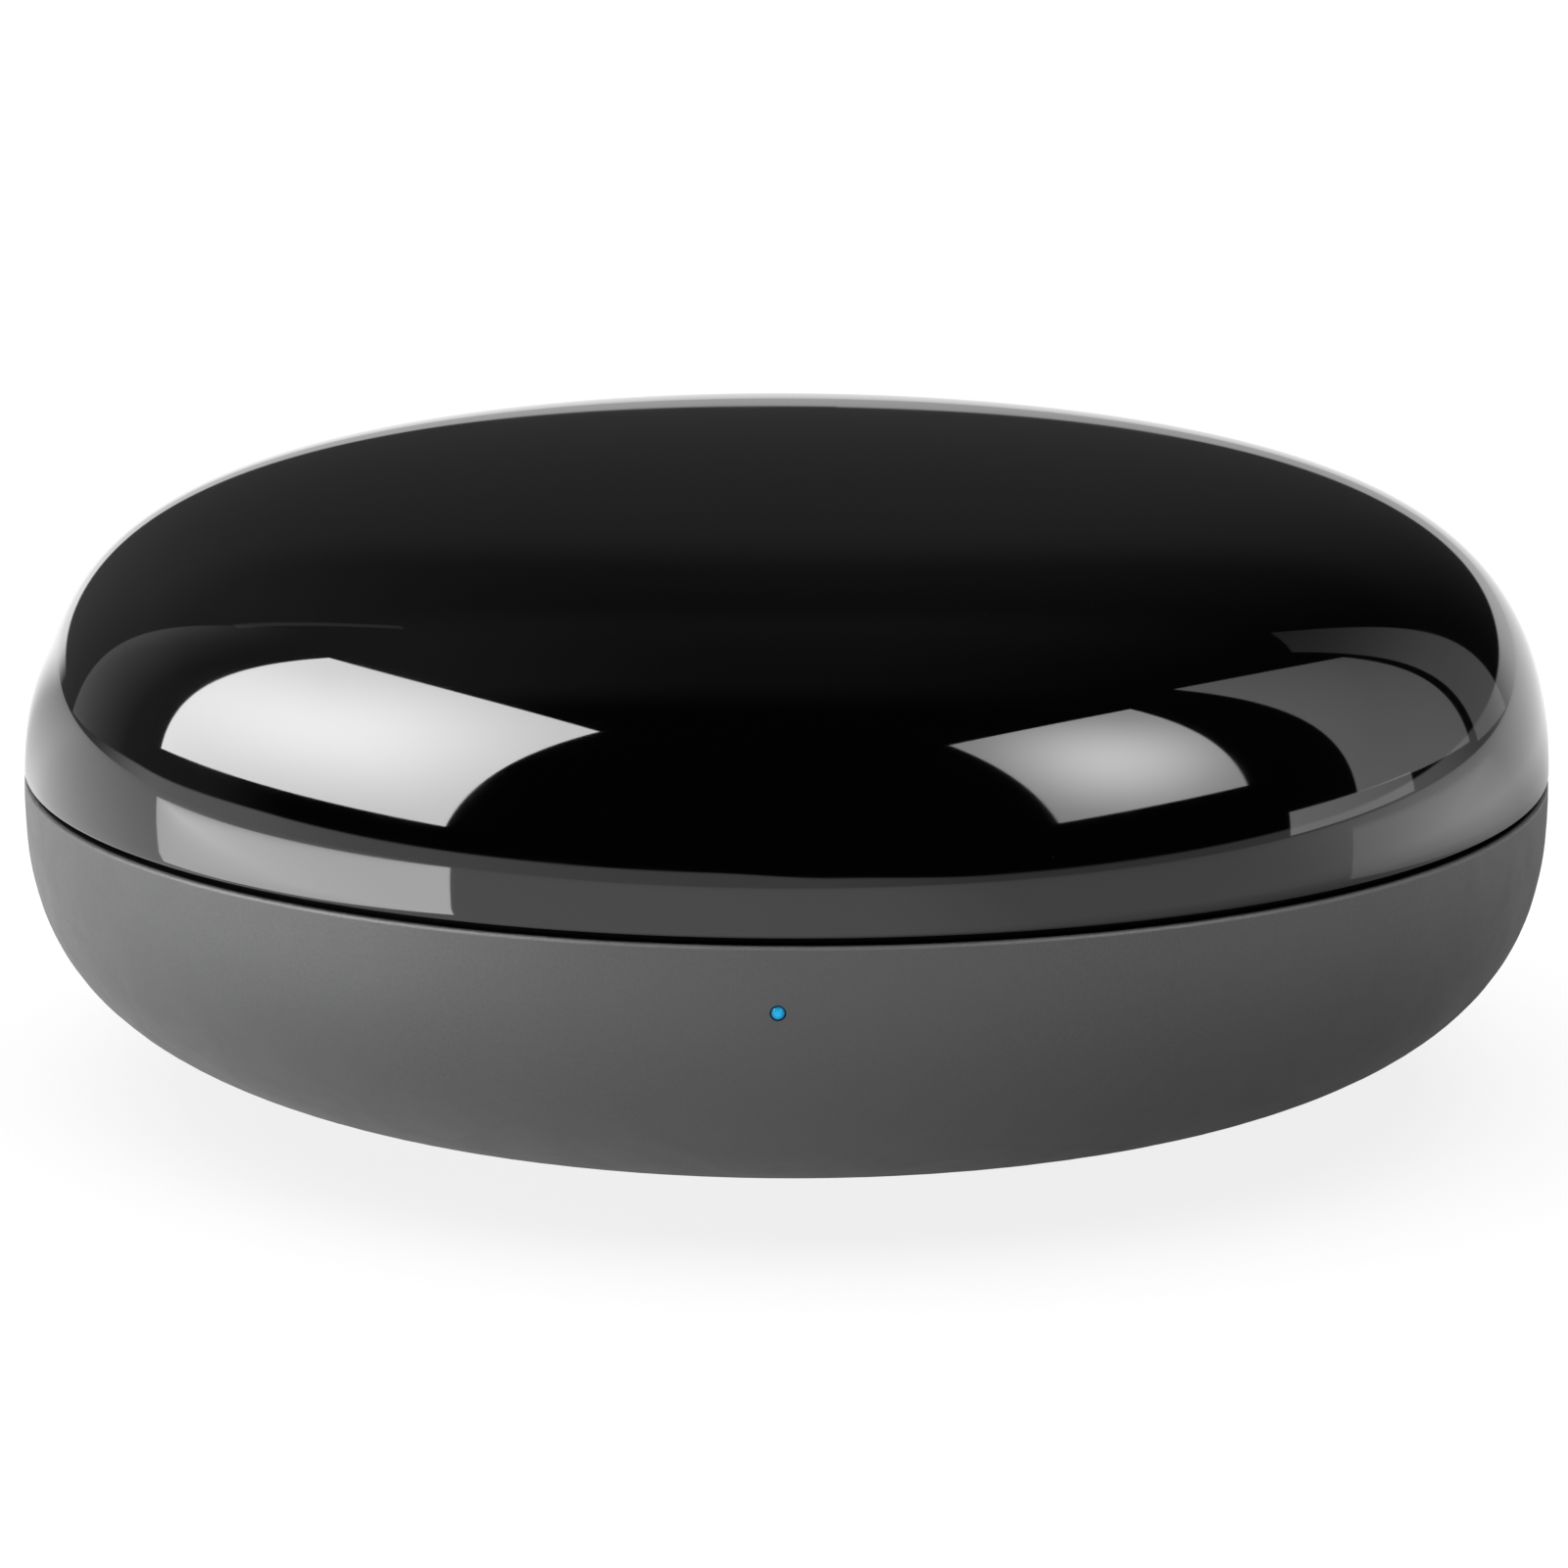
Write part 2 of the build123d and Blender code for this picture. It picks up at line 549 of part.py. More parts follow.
def make_switch_frame():
    """A folded steel strap under and behind the switch body, with two legs to the board."""
    width = SWITCH_WIDTH - 1.0
    middle = SWITCH_FRONT - SWITCH_LENGTH / 2
    under = Box(width, SWITCH_LENGTH, SWITCH_FRAME_THICKNESS)
    under = Pos(KEY_X, middle, BOARD_UNDER_Z - SWITCH_HEIGHT - SWITCH_FRAME_THICKNESS / 2) * under
    back_height = SWITCH_HEIGHT + SWITCH_FRAME_THICKNESS
    back = Box(width, SWITCH_FRAME_THICKNESS, back_height, align=HIGH)
    back_y = SWITCH_FRONT - SWITCH_LENGTH - SWITCH_FRAME_THICKNESS / 2
    return under + Pos(KEY_X, back_y, BOARD_UNDER_Z) * back


# ---- status light --------------------------------------------------------------------------------
def make_light_pipe():
    end = LIGHT_SHOULDER + SHELL_WALL + LIGHT_TIP_PROUD
    tip = along_y(LIGHT_TIP_RADIUS, -end, -LIGHT_INNER_END, 0, LIGHT_Z)
    tip = fillet(tip.edges().group_by(Axis.Y)[0], LIGHT_TIP_RADIUS * 0.8)
    return tip + along_y(LIGHT_BODY_RADIUS, -LIGHT_SHOULDER, -LIGHT_INNER_END, 0, LIGHT_Z)


def make_status_led():
    face = -(BOARD_RADIUS - LED_FROM_EDGE)
    block = Box(LED_WIDTH, LED_DEPTH, LED_HEIGHT, align=(Align.CENTER, Align.MIN, Align.MIN))
    window = Box(LED_WIDTH * 0.6, 0.3, LED_HEIGHT * 0.6, align=(Align.CENTER, Align.MIN, Align.CENTER))
    return Pos(0, face, BOARD_TOP_Z) * (block - Pos(0, 0, LED_HEIGHT / 2) * window)


# ---- infrared emitters and receiver --------------------------------------------------------------
def emitter_body():
    """A 5 mm round emitter standing on its base at the origin, with a flat on its flange."""
    half_dome = Pos(0, 0, EMITTER_BARREL) * Sphere(EMITTER_RADIUS)
    body = Cylinder(EMITTER_RADIUS, EMITTER_BARREL, align=LOW) + half_dome
    flange = Cylinder(EMITTER_FLANGE_RADIUS, EMITTER_FLANGE_THICKNESS, align=LOW)
    flat = Box(FAR, FAR, FAR, align=(Align.CENTER, Align.MAX, Align.CENTER))
    return body + (flange & Pos(0, EMITTER_RADIUS, 0) * flat)


def emitter_places():
    return ring_of(EMITTER_COUNT, EMITTER_CIRCLE_RADIUS)


def emitter_spot(angle, x, y):
    """Where a ring emitter's base is, leaning outwards on its bent leads."""
    out, up = lead_reach()
    turn = Rot(0, 0, angle)
    return Pos(x, y, BOARD_TOP_Z) * turn * Pos(out, 0, up) * Rot(0, 90 - EMITTER_TILT, 0)


def lead_reach():
    """How far out and how far up the lead's bend and slanted run bring the emitter's base."""
    lean = radians(90 - EMITTER_TILT)
    run = EMITTER_LIFT / 2
    out = LEAD_BEND_RADIUS * (1 - cos(lean)) + run * sin(lean)
    up = EMITTER_LIFT / 2 + LEAD_BEND_RADIUS * sin(lean) + run * cos(lean)
    return out, up


def bent_lead():
    """One lead in the XZ plane: up from under the board, round a bend, along the emitter's axis."""
    lean = radians(90 - EMITTER_TILT)
    knee = (0, 0, EMITTER_LIFT / 2)
    end_of_bend = (LEAD_BEND_RADIUS * (1 - cos(lean)), 0, knee[2] + LEAD_BEND_RADIUS * sin(lean))
    out, up = lead_reach()
    straight = Line((0, 0, -LEAD_THROUGH), knee)
    bend = TangentArc(knee, end_of_bend, tangent=(0, 0, 1))
    slant = Line(end_of_bend, (out, 0, up))
    path = Wire([straight, bend, slant])
    return sweep(Plane.XY.offset(-LEAD_THROUGH) * Rectangle(LEAD_WIDTH, LEAD_WIDTH), path)


def lead_places():
    """Where emitter leads go through the board."""
    places = []
    for angle, x, y in emitter_places():
        side = (-sin(radians(angle)), cos(radians(angle)))
        for half in (-LEAD_PITCH / 2, LEAD_PITCH / 2):
            places.append((x + side[0] * half, y + side[1] * half))
    return places + [(-LEAD_PITCH / 2, 0), (LEAD_PITCH / 2, 0)]


def make_emitter_leads():
    leads = []
    one = bent_lead()
    for angle, x, y in emitter_places():
        for half in (-LEAD_PITCH / 2, LEAD_PITCH / 2):
            leads.append(Pos(x, y, BOARD_TOP_Z) * Rot(0, 0, angle) * Pos(0, half, 0) * one)
    upright = Box(LEAD_WIDTH, LEAD_WIDTH, LEAD_THROUGH + EMITTER_UPRIGHT_LIFT, align=LOW)
    for x in (-LEAD_PITCH / 2, LEAD_PITCH / 2):
        leads.append(Pos(x, 0, BOARD_TOP_Z - LEAD_THROUGH) * upright)
    return group(leads)


def receiver_lead_places():
    return [(x, RECEIVER_Y) for x in (-LEAD_PITCH, 0, LEAD_PITCH)]


def make_receiver():
    """A moulded block with a round lens bulging out of its front."""
    block = Box(RECEIVER_WIDTH, RECEIVER_DEPTH, RECEIVER_HEIGHT, align=LOW)
    block = fillet(block.edges().filter_by(Axis.Z), 0.5)
    lens = Pos(0, -RECEIVER_DEPTH / 2 + 0.6, RECEIVER_HEIGHT * 0.58) * Sphere(RECEIVER_LENS_RADIUS)
    return Pos(0, RECEIVER_Y, BOARD_TOP_Z + RECEIVER_LIFT) * (block + lens)


def make_receiver_leads():
    lead = Box(LEAD_WIDTH, LEAD_WIDTH, LEAD_THROUGH + RECEIVER_LIFT, align=LOW)
    return group(Pos(x, y, BOARD_TOP_Z - LEAD_THROUGH) * lead for x, y in receiver_lead_places())


# ---- radio ---------------------------------------------------------------------------------------
def make_can(size, x, y, level):
    """A drawn steel can, open towards the board."""
    outside = brick(size, 0, 0, 0, CAN_CORNER)
    outside = fillet(outside.edges().group_by(Axis.Z)[-1], 0.3)
    inner = (size[0] - 2 * CAN_WALL, size[1] - 2 * CAN_WALL, size[2] - CAN_WALL)
    return Pos(x, y, level) * (outside - brick(inner, 0, 0, 0, CAN_CORNER - CAN_WALL))


def make_wifi_board():
    board = Box(WIFI_WIDTH, WIFI_LENGTH, WIFI_THICKNESS, align=LOW)
    pads = []
    first = -WIFI_LENGTH / 2 + 1.5
    for side in (-WIFI_WIDTH / 2, WIFI_WIDTH / 2):
        for i in range(WIFI_PADS):
            pads.append(Pos(side, first + i * WIFI_PAD_PITCH, 0) * Cylinder(WIFI_PAD_RADIUS, FAR))
    return Pos(WIFI_X, WIFI_Y, BOARD_TOP_Z) * (board - pads)


def make_coil(x, y, turns):
    """A sprung wire antenna: a helix standing on one straight leg through the board."""
    helix = Helix(COIL_PITCH, turns * COIL_PITCH, COIL_RADIUS)
    section = Plane(origin=helix @ 0, z_dir=helix % 0) * Circle(COIL_WIRE_RADIUS)
    coil = sweep(section, helix, is_frenet=True)
    leg = Cylinder(COIL_WIRE_RADIUS, COIL_LIFT + LEAD_THROUGH, align=HIGH)
    knuckle = Pos(COIL_RADIUS, 0, 0) * Sphere(COIL_WIRE_RADIUS * 1.1)
    coil = coil + knuckle + Pos(COIL_RADIUS, 0, 0) * leg
    return Pos(x, y, BOARD_TOP_Z + COIL_LIFT) * coil


# ---- chips ---------------------------------------------------------------------------------------
def make_microcontroller():
    x, y = CHIP_PLACE
    body = Box(CHIP_SIZE, CHIP_SIZE, CHIP_HEIGHT, align=LOW)
    body = chamfer(body.edges().group_by(Axis.Z)[-1], 0.15)
    mark = Pos(-CHIP_SIZE * 0.36, -CHIP_SIZE * 0.36, CHIP_HEIGHT) * Cylinder(0.4, 0.2)
    return Pos(x, y, BOARD_TOP_Z + CHIP_STAND_OFF) * (body - mark)


def gull_pin():
    """One gull-wing pin in the XZ plane, leaving a chip's side at x = 0 and landing on z = 0."""
    knee = CHIP_STAND_OFF + CHIP_HEIGHT / 2
    t = PIN_THICKNESS
    outline = [(0, knee), (PIN_REACH * 0.4, knee), (PIN_REACH * 0.4, t), (PIN_REACH, t), (PIN_REACH, 0)]
    outline += [(PIN_REACH * 0.4 - t, 0), (PIN_REACH * 0.4 - t, knee - t), (0, knee - t)]
    face = Plane.XZ * make_face(Polyline(*outline, close=True))
    return extrude(face, PIN_WIDTH / 2, both=True)


def make_microcontroller_pins():
    x, y = CHIP_PLACE
    one = gull_pin()
    first = -(PINS_A_SIDE - 1) / 2 * PIN_PITCH
    pins = []
    for side in range(4):
        for i in range(PINS_A_SIDE):
            slide = Pos(CHIP_SIZE / 2, first + i * PIN_PITCH, 0)
            pins.append(Pos(x, y, BOARD_TOP_Z) * Rot(0, 0, 90 * side) * slide * one)
    return group(pins)


def make_regulator():
    """A power regulator with its cooling tab."""
    x, y = REGULATOR_PLACE
    body = chamfer(Box(*REGULATOR_SIZE, align=LOW).edges().group_by(Axis.Z)[-1], 0.2)
    tab_y = (REGULATOR_SIZE[1] + REGULATOR_TAB[1]) / 2
    return Pos(x, y, BOARD_TOP_Z) * (body + brick(REGULATOR_TAB, 0, tab_y, 0))


def make_inductor():
    x, y = INDUCTOR_PLACE
    size = (INDUCTOR_SIZE, INDUCTOR_SIZE, INDUCTOR_HEIGHT)
    block = brick(size, 0, 0, 0, 1.2)
    groove = Pos(0, 0, INDUCTOR_HEIGHT) * (Cylinder(2.6, 0.4) - Cylinder(2.2, 0.4))
    return Pos(x, y, BOARD_TOP_Z) * (block - groove)


def make_capacitor():
    x, y = CAPACITOR_PLACE
    can = Cylinder(CAPACITOR_RADIUS, CAPACITOR_HEIGHT, align=LOW)
    can = fillet(can.edges().group_by(Axis.Z)[-1], 0.4)
    return Pos(x, y, BOARD_TOP_Z + CAPACITOR_BASE_HEIGHT) * can


def make_capacitor_base():
    x, y = CAPACITOR_PLACE
    base = Box(CAPACITOR_BASE, CAPACITOR_BASE, CAPACITOR_BASE_HEIGHT, align=LOW)
    corners = base.edges().filter_by(Axis.Z).group_by(Axis.X)[-1]
    return Pos(x, y, BOARD_TOP_Z) * chamfer(corners, 1.2)


def make_crystal():
    x, y = CRYSTAL_PLACE
    foot = brick((CRYSTAL_SIZE[0], CRYSTAL_SIZE[1], 0.5), 0, 0, 0, 2.2)
    can_size = (CRYSTAL_SIZE[0] - 0.7, CRYSTAL_SIZE[1] - 0.7, CRYSTAL_SIZE[2])
    can = brick(can_size, 0, 0, 0, 1.9)
    return Pos(x, y, BOARD_TOP_Z) * (foot + fillet(can.edges().group_by(Axis.Z)[-1], 0.4))


def on_ring(size, radius):
    """One block at each emitter's angle, nearer the middle."""
    blocks = []
    for angle, x, y in ring_of(EMITTER_COUNT, radius):
        blocks.append(Pos(x, y, BOARD_TOP_Z) * Rot(0, 0, angle) * Box(*size, align=LOW))
    return blocks


def make_decouplers():
    blocks = [brick(DECOUPLER_SIZE, CHIP_PLACE[0] + dx, DECOUPLER_Y, BOARD_TOP_Z) for dx in DECOUPLER_OFFSETS]
    blocks += [brick(DECOUPLER_SIZE, WIFI_X + dx, WIFI_Y + dy, BOARD_TOP_Z) for dx, dy in WIFI_DECOUPLERS]
    return group(blocks)


# ---- everything, by the name of its file ---------------------------------------------------------
def all_parts():
    parts = {
        "top_cover": make_top_cover(),
        "bottom_shell": make_bottom_shell(),
        "rating_label": make_label(),
        "housing_screws": make_housing_screws(),
        "main_board": make_board(),
        "board_screws": make_board_screws(),
        "usb_socket_shell": make_socket_shell(),
        "usb_socket_tongue": make_socket_tongue(),
        "usb_socket_contacts": make_socket_contacts(),
        "reset_key": make_reset_key(),
        "reset_switch_plunger": make_switch_plunger(),
        "reset_switch_body": make_switch_body(),
        "reset_switch_frame": make_switch_frame(),
        "light_pipe": make_light_pipe(),
        "status_led": make_status_led(),
        "ir_emitter_leads": make_emitter_leads(),
        "ir_receiver": make_receiver(),
        "ir_receiver_leads": make_receiver_leads(),
        "wifi_board": make_wifi_board(),
        "wifi_shield": make_can(WIFI_CAN, WIFI_X, WIFI_Y - WIFI_CAN_BACK, BOARD_TOP_Z + WIFI_THICKNESS),
        "rf_shield": make_can(RADIO_CAN, *RADIO_PLACE, BOARD_TOP_Z),
        "microcontroller": make_microcontroller(),
        "microcontroller_pins": make_microcontroller_pins(),
        "flash_memory": brick(FLASH_SIZE, *FLASH_PLACE, BOARD_TOP_Z, 0.2),
        "voltage_regulator": make_regulator(),
        "power_inductor": make_inductor(),
        "smoothing_capacitor": make_capacitor(),
        "smoothing_capacitor_base": make_capacitor_base(),
        "crystal_can": make_crystal(),
        "driver_transistors": group(on_ring(DRIVER_SIZE, DRIVER_CIRCLE_RADIUS)),
        "chip_resistors": group(on_ring(RESISTOR_SIZE, RESISTOR_CIRCLE_RADIUS)),
        "chip_capacitors": make_decouplers(),
    }
    for i, (x, y) in enumerate(foot_places(), 1):
        parts[f"foot_{i}"] = make_foot(x, y)
    for i, (angle, x, y) in enumerate(emitter_places(), 1):
        parts[f"ir_emitter_{i}"] = emitter_spot(angle, x, y) * emitter_body()
    upright = Pos(0, 0, BOARD_TOP_Z + EMITTER_UPRIGHT_LIFT)
    parts[f"ir_emitter_{EMITTER_COUNT + 1}"] = upright * emitter_body()
    for name, (x, y, turns) in COILS.items():
        parts[name] = make_coil(x, y, turns)
    return parts


os.makedirs("parts", exist_ok=True)
for name, part in all_parts().items():
    export_step(part, f"parts/{name}.step")
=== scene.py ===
"""Looks of the infrared remote-control hub: materials, pale table, studio light and camera."""
import json
import math

import bmesh
import bpy
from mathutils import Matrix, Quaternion, Vector

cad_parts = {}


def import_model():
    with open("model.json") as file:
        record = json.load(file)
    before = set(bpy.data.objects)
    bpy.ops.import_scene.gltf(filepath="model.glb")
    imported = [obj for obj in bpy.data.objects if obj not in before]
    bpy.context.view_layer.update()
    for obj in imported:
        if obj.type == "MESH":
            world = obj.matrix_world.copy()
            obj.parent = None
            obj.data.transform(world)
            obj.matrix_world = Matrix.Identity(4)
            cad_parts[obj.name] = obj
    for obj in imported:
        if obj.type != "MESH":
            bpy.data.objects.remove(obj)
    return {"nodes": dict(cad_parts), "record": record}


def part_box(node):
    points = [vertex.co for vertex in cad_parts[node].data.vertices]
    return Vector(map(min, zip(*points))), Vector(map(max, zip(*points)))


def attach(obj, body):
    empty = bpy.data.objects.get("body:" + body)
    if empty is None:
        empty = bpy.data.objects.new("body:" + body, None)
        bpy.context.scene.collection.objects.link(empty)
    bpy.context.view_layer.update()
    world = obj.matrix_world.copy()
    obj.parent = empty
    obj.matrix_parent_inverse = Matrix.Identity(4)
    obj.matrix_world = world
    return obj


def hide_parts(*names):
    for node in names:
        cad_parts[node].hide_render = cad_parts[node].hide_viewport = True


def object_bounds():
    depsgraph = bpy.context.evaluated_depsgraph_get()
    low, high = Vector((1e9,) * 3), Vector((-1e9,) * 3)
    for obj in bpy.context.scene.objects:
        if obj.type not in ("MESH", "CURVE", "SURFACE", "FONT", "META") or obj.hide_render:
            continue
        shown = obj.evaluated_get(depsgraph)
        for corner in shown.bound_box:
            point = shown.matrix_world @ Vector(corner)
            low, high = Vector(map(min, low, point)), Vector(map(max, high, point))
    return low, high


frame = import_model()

cad_low, cad_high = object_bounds()
nodes = frame["nodes"]
MM = 0.001
middle = (cad_low + cad_high) / 2
radius = (cad_high.x - cad_low.x) / 2


# ---- node helpers --------------------------------------------------------------------------------
class Graph:
    """A material's or world's nodes, added and wired by short calls."""

    def __init__(self, tree):
        tree.nodes.clear()
        self.tree = tree

    def add(self, kind, inputs=None, **settings):
        """Adds a node; inputs may be numbers, colours or another node's output socket."""
        node = self.tree.nodes.new(kind)
        for key, value in settings.items():
            setattr(node, key, value)
        for key, value in (inputs or {}).items():
            if isinstance(value, bpy.types.NodeSocket):
                self.tree.links.new(value, node.inputs[key])
            else:
                node.inputs[key].default_value = value
        return node

    def noise(self, where, size, detail=3.0, roughness=0.5, distortion=0.0):
        """Soft noise between 0 and 1 whose blobs are about size metres across."""
        inputs = {"Vector": where, "Scale": 1.0 / size, "Detail": detail}
        inputs.update({"Roughness": roughness, "Distortion": distortion})
        return self.add("ShaderNodeTexNoise", inputs).outputs["Fac"]

    def cells(self, where, size, randomness=1.0):
        """Distance from the middle of cells about size metres across."""
        inputs = {"Vector": where, "Scale": 1.0 / size, "Randomness": randomness}
        return self.add("ShaderNodeTexVoronoi", inputs).outputs["Distance"]

    def remap(self, value, low, high, to_low, to_high, smooth=False):
        inputs = {"Value": value, "From Min": low, "From Max": high}
        inputs.update({"To Min": to_low, "To Max": to_high})
        node = self.add("ShaderNodeMapRange", inputs, clamp=True)
        if smooth:
            node.interpolation_type = "SMOOTHSTEP"
        return node.outputs["Result"]

    def maths(self, operation, *values):
        return self.add("ShaderNodeMath", dict(enumerate(values)), operation=operation).outputs[0]

    def split(self, vector):
        """The x, y and z of a vector."""
        return self.add("ShaderNodeSeparateXYZ", {"Vector": vector}).outputs[:3]

    def distance(self, where, centre):
        inputs = {0: where, 1: centre}
        return self.add("ShaderNodeVectorMath", inputs, operation="DISTANCE").outputs["Value"]

    def mix(self, factor, a, b):
        """Colour a where factor is 0, b where it is 1."""
        node = self.add("ShaderNodeMix", data_type="RGBA")
        for key, value in (("Factor", factor), ("A", a), ("B", b)):
            socket = next(s for s in node.inputs if s.name == key and s.enabled)
            if isinstance(value, bpy.types.NodeSocket):
                self.tree.links.new(value, socket)
            else:
                socket.default_value = value
        return next(s for s in node.outputs if s.enabled)

    def ramp(self, turn, stops):
        """A level that runs smoothly through stops (angle from the front, level) all round."""
        node = self.add("ShaderNodeValToRGB", {"Fac": self.remap(turn, -180.0, 180.0, 0.0, 1.0)})
        ramp = node.color_ramp
        ramp.interpolation = "EASE"
        while len(ramp.elements) < len(stops):
            ramp.elements.new(0.5)
        for element, (angle, level) in zip(ramp.elements, stops):
            element.position = (angle + 180.0) / 360.0
            element.color = (level, level, level, 1.0)
        return node.outputs["Color"]

    def pick(self, switch, a, b):
        """Number a where switch is 0, b where it is 1."""
        return self.add("ShaderNodeMix", {0: switch, 2: a, 3: b}, data_type="FLOAT").outputs[0]

    def bump(self, height, depth, normal=None):
        inputs = {"Height": height, "Distance": depth, "Strength": 1.0}
        if normal is not None:
            inputs["Normal"] = normal
        return self.add("ShaderNodeBump", inputs).outputs["Normal"]


def shade(colour, factor):
    return (*(channel * factor for channel in colour[:3]), 1.0)


def new_material(name):
    material = bpy.data.materials.new(name)
    material.use_nodes = True
    return material, Graph(material.node_tree)


def close(graph, shader):
    output = graph.add("ShaderNodeOutputMaterial")
    graph.tree.links.new(shader, output.inputs["Surface"])


def surface(name, colour, roughness, grain, depth, spread=0.12, uneven=0.05, **shader):
    """A moulded, cast or plated surface: fine grain in the bump, blotches in colour and gloss."""
    material, g = new_material(name)
    where = g.add("ShaderNodeTexCoord").outputs["Object"]
    fine = g.noise(where, grain, detail=4.0, roughness=0.6)
    broad = g.noise(where, 7 * MM, detail=3.0, roughness=0.55, distortion=0.3)
    smudge = g.noise(where, 2.2 * MM, detail=5.0, roughness=0.65)
    blend = g.maths("ADD", g.maths("MULTIPLY", broad, 0.6), g.maths("MULTIPLY", fine, 0.4))
    blend = g.remap(blend, 0.3, 0.7, 0.0, 1.0)
    tint = g.mix(blend, shade(colour, 1 - spread), shade(colour, 1 + spread))
    gloss = g.remap(smudge, 0.3, 0.7, roughness - uneven, roughness + uneven)
    inputs = {"Base Color": tint, "Roughness": gloss, "Normal": g.bump(fine, depth)}
    inputs.update({key.replace("_", " "): value for key, value in shader.items()})
    close(g, g.add("ShaderNodeBsdfPrincipled", inputs).outputs["BSDF"])
    return material


# ---- materials of the outside --------------------------------------------------------------------
def cover_gloss():
    """Black infrared-clear plastic with a mirror polish, faint moulding waves and a little haze."""
    material, g = new_material("cover_gloss")
    where = g.add("ShaderNodeTexCoord").outputs["Object"]
    waves = g.noise(where, 22 * MM, detail=1.0)
    haze = g.noise(where, 9 * MM, detail=6.0, roughness=0.6, distortion=0.4)
    specks = g.noise(where, 0.35 * MM, detail=2.0)
    dust = g.remap(specks, 0.74, 0.80, 0.0, 1.0, smooth=True)
    base = g.mix(dust, (0.0005, 0.0005, 0.0006, 1), (0.0035, 0.0035, 0.004, 1))
    gloss = g.maths("ADD", g.remap(haze, 0.35, 0.75, 0.028, 0.05), g.maths("MULTIPLY", dust, 0.12))
    inputs = {"Base Color": base, "Roughness": gloss, "IOR": 1.5}
    inputs["Normal"] = g.bump(waves, 0.01 * MM)
    close(g, g.add("ShaderNodeBsdfPrincipled", inputs).outputs["BSDF"])
    return material


def shell_matt():
    """Spark-textured grey plastic, a little polished with a painted highlight along its rim,
    painted shade in the seam.
    """
    material, g = new_material("shell_matt")
    where = g.add("ShaderNodeTexCoord").outputs["Object"]
    spark = g.noise(where, 0.22 * MM, detail=5.0, roughness=0.7)
    pits = g.cells(where, 0.45 * MM)
    broad = g.noise(where, 16 * MM, detail=3.0, roughness=0.5)
    smudge = g.noise(where, 5 * MM, detail=6.0, roughness=0.62, distortion=0.6)
    x, y, level = g.split(where)
    out = g.maths("SQRT", g.maths("ADD", g.maths("MULTIPLY", x, x), g.maths("MULTIPLY", y, y)))
    near_rim = g.remap(level, SHELL_RIM - 0.3 * MM, SHELL_RIM - 0.08 * MM, 0.0, 1.0, smooth=True)
    outermost = g.remap(out, radius - 0.5 * MM, radius - 0.2 * MM, 0.0, 1.0, smooth=True)
    edge = g.maths("MULTIPLY", near_rim, outermost)
    # Rubbed rim edge: rub polish in the gloss (less rough), and a painted highlight in the colour
    # (up to 1.6 times lighter).
    wear_and_highlight = g.maths("MULTIPLY", edge, g.remap(spark, 0.35, 0.6, 0.4, 1.0))
    # Painted shade in the seam: the rim ledge inboard of the edge and the tongue above the rim go
    # near black.
    at_rim = g.remap(level, SHELL_RIM - 0.12 * MM, SHELL_RIM - 0.03 * MM, 0.0, 1.0)
    inboard = g.remap(out, radius - 0.5 * MM, radius - 0.3 * MM, 1.0, 0.0, smooth=True)
    ledge = g.maths("MULTIPLY", inboard, at_rim)
    tongue = g.remap(level, SHELL_RIM, SHELL_RIM + 0.05 * MM, 0.0, 1.0)
    painted_seam_shade = g.maths("MAXIMUM", ledge, tongue)
    base = g.remap(spark, 0.3, 0.7, 0.0, 1.0)
    base = g.mix(base, shade(SHELL_GREY, 0.90), shade(SHELL_GREY, 1.10))
    base = g.mix(g.remap(broad, 0.35, 0.65, 0.0, 0.5), base, shade(SHELL_GREY, 1.06))
    base = g.mix(g.maths("MULTIPLY", wear_and_highlight, 0.6), base, shade(SHELL_GREY, 1.6))
    base = g.mix(painted_seam_shade, base, shade(SHELL_GREY, 0.05))
    gloss = g.remap(smudge, 0.3, 0.7, 0.50, 0.62)
    gloss = g.maths("SUBTRACT", gloss, g.maths("MULTIPLY", wear_and_highlight, 0.12))
    normal = g.bump(spark, 0.014 * MM, g.bump(pits, 0.006 * MM))
    inputs = {"Base Color": base, "Roughness": gloss, "Normal": normal, "IOR": 1.38}
    # The painted seam shade also takes out most of the specular.
    inputs["Specular IOR Level"] = g.remap(painted_seam_shade, 0.0, 1.0, 0.4, 0.03)
    close(g, g.add("ShaderNodeBsdfPrincipled", inputs).outputs["BSDF"])
    return material


def light_clear():
    """Acrylic tip lit blue from behind: bright in its middle, deeper towards its rim."""
    material, g = new_material("light_clear")
    where = g.add("ShaderNodeTexCoord").outputs["Object"]
    low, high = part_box("light_pipe")
    centre = (low + high) / 2
    centre.y = low.y
    glow = g.remap(g.distance(where, centre), 0.1 * MM, 0.6 * MM, 1.0, 0.0, smooth=True)
    cloud = g.noise(where, 0.3 * MM, detail=2.0)
    colour = g.mix(glow, (0.008, 0.12, 0.23, 1), (0.010, 0.33, 0.64, 1))
    strength = g.remap(glow, 0.0, 1.0, 0.2, 0.31)
    strength = g.maths("MULTIPLY", strength, g.remap(cloud, 0.2, 0.8, 0.9, 1.1))
    inputs = {"Base Color": colour, "Roughness": g.remap(cloud, 0.3, 0.7, 0.06, 0.14), "IOR": 1.49}
    inputs["Specular IOR Level"] = 0.15
    inputs.update({"Emission Color": colour, "Emission Strength": strength})
    inputs["Normal"] = g.bump(cloud, 0.002 * MM)
    close(g, g.add("ShaderNodeBsdfPrincipled", inputs).outputs["BSDF"])
    return material


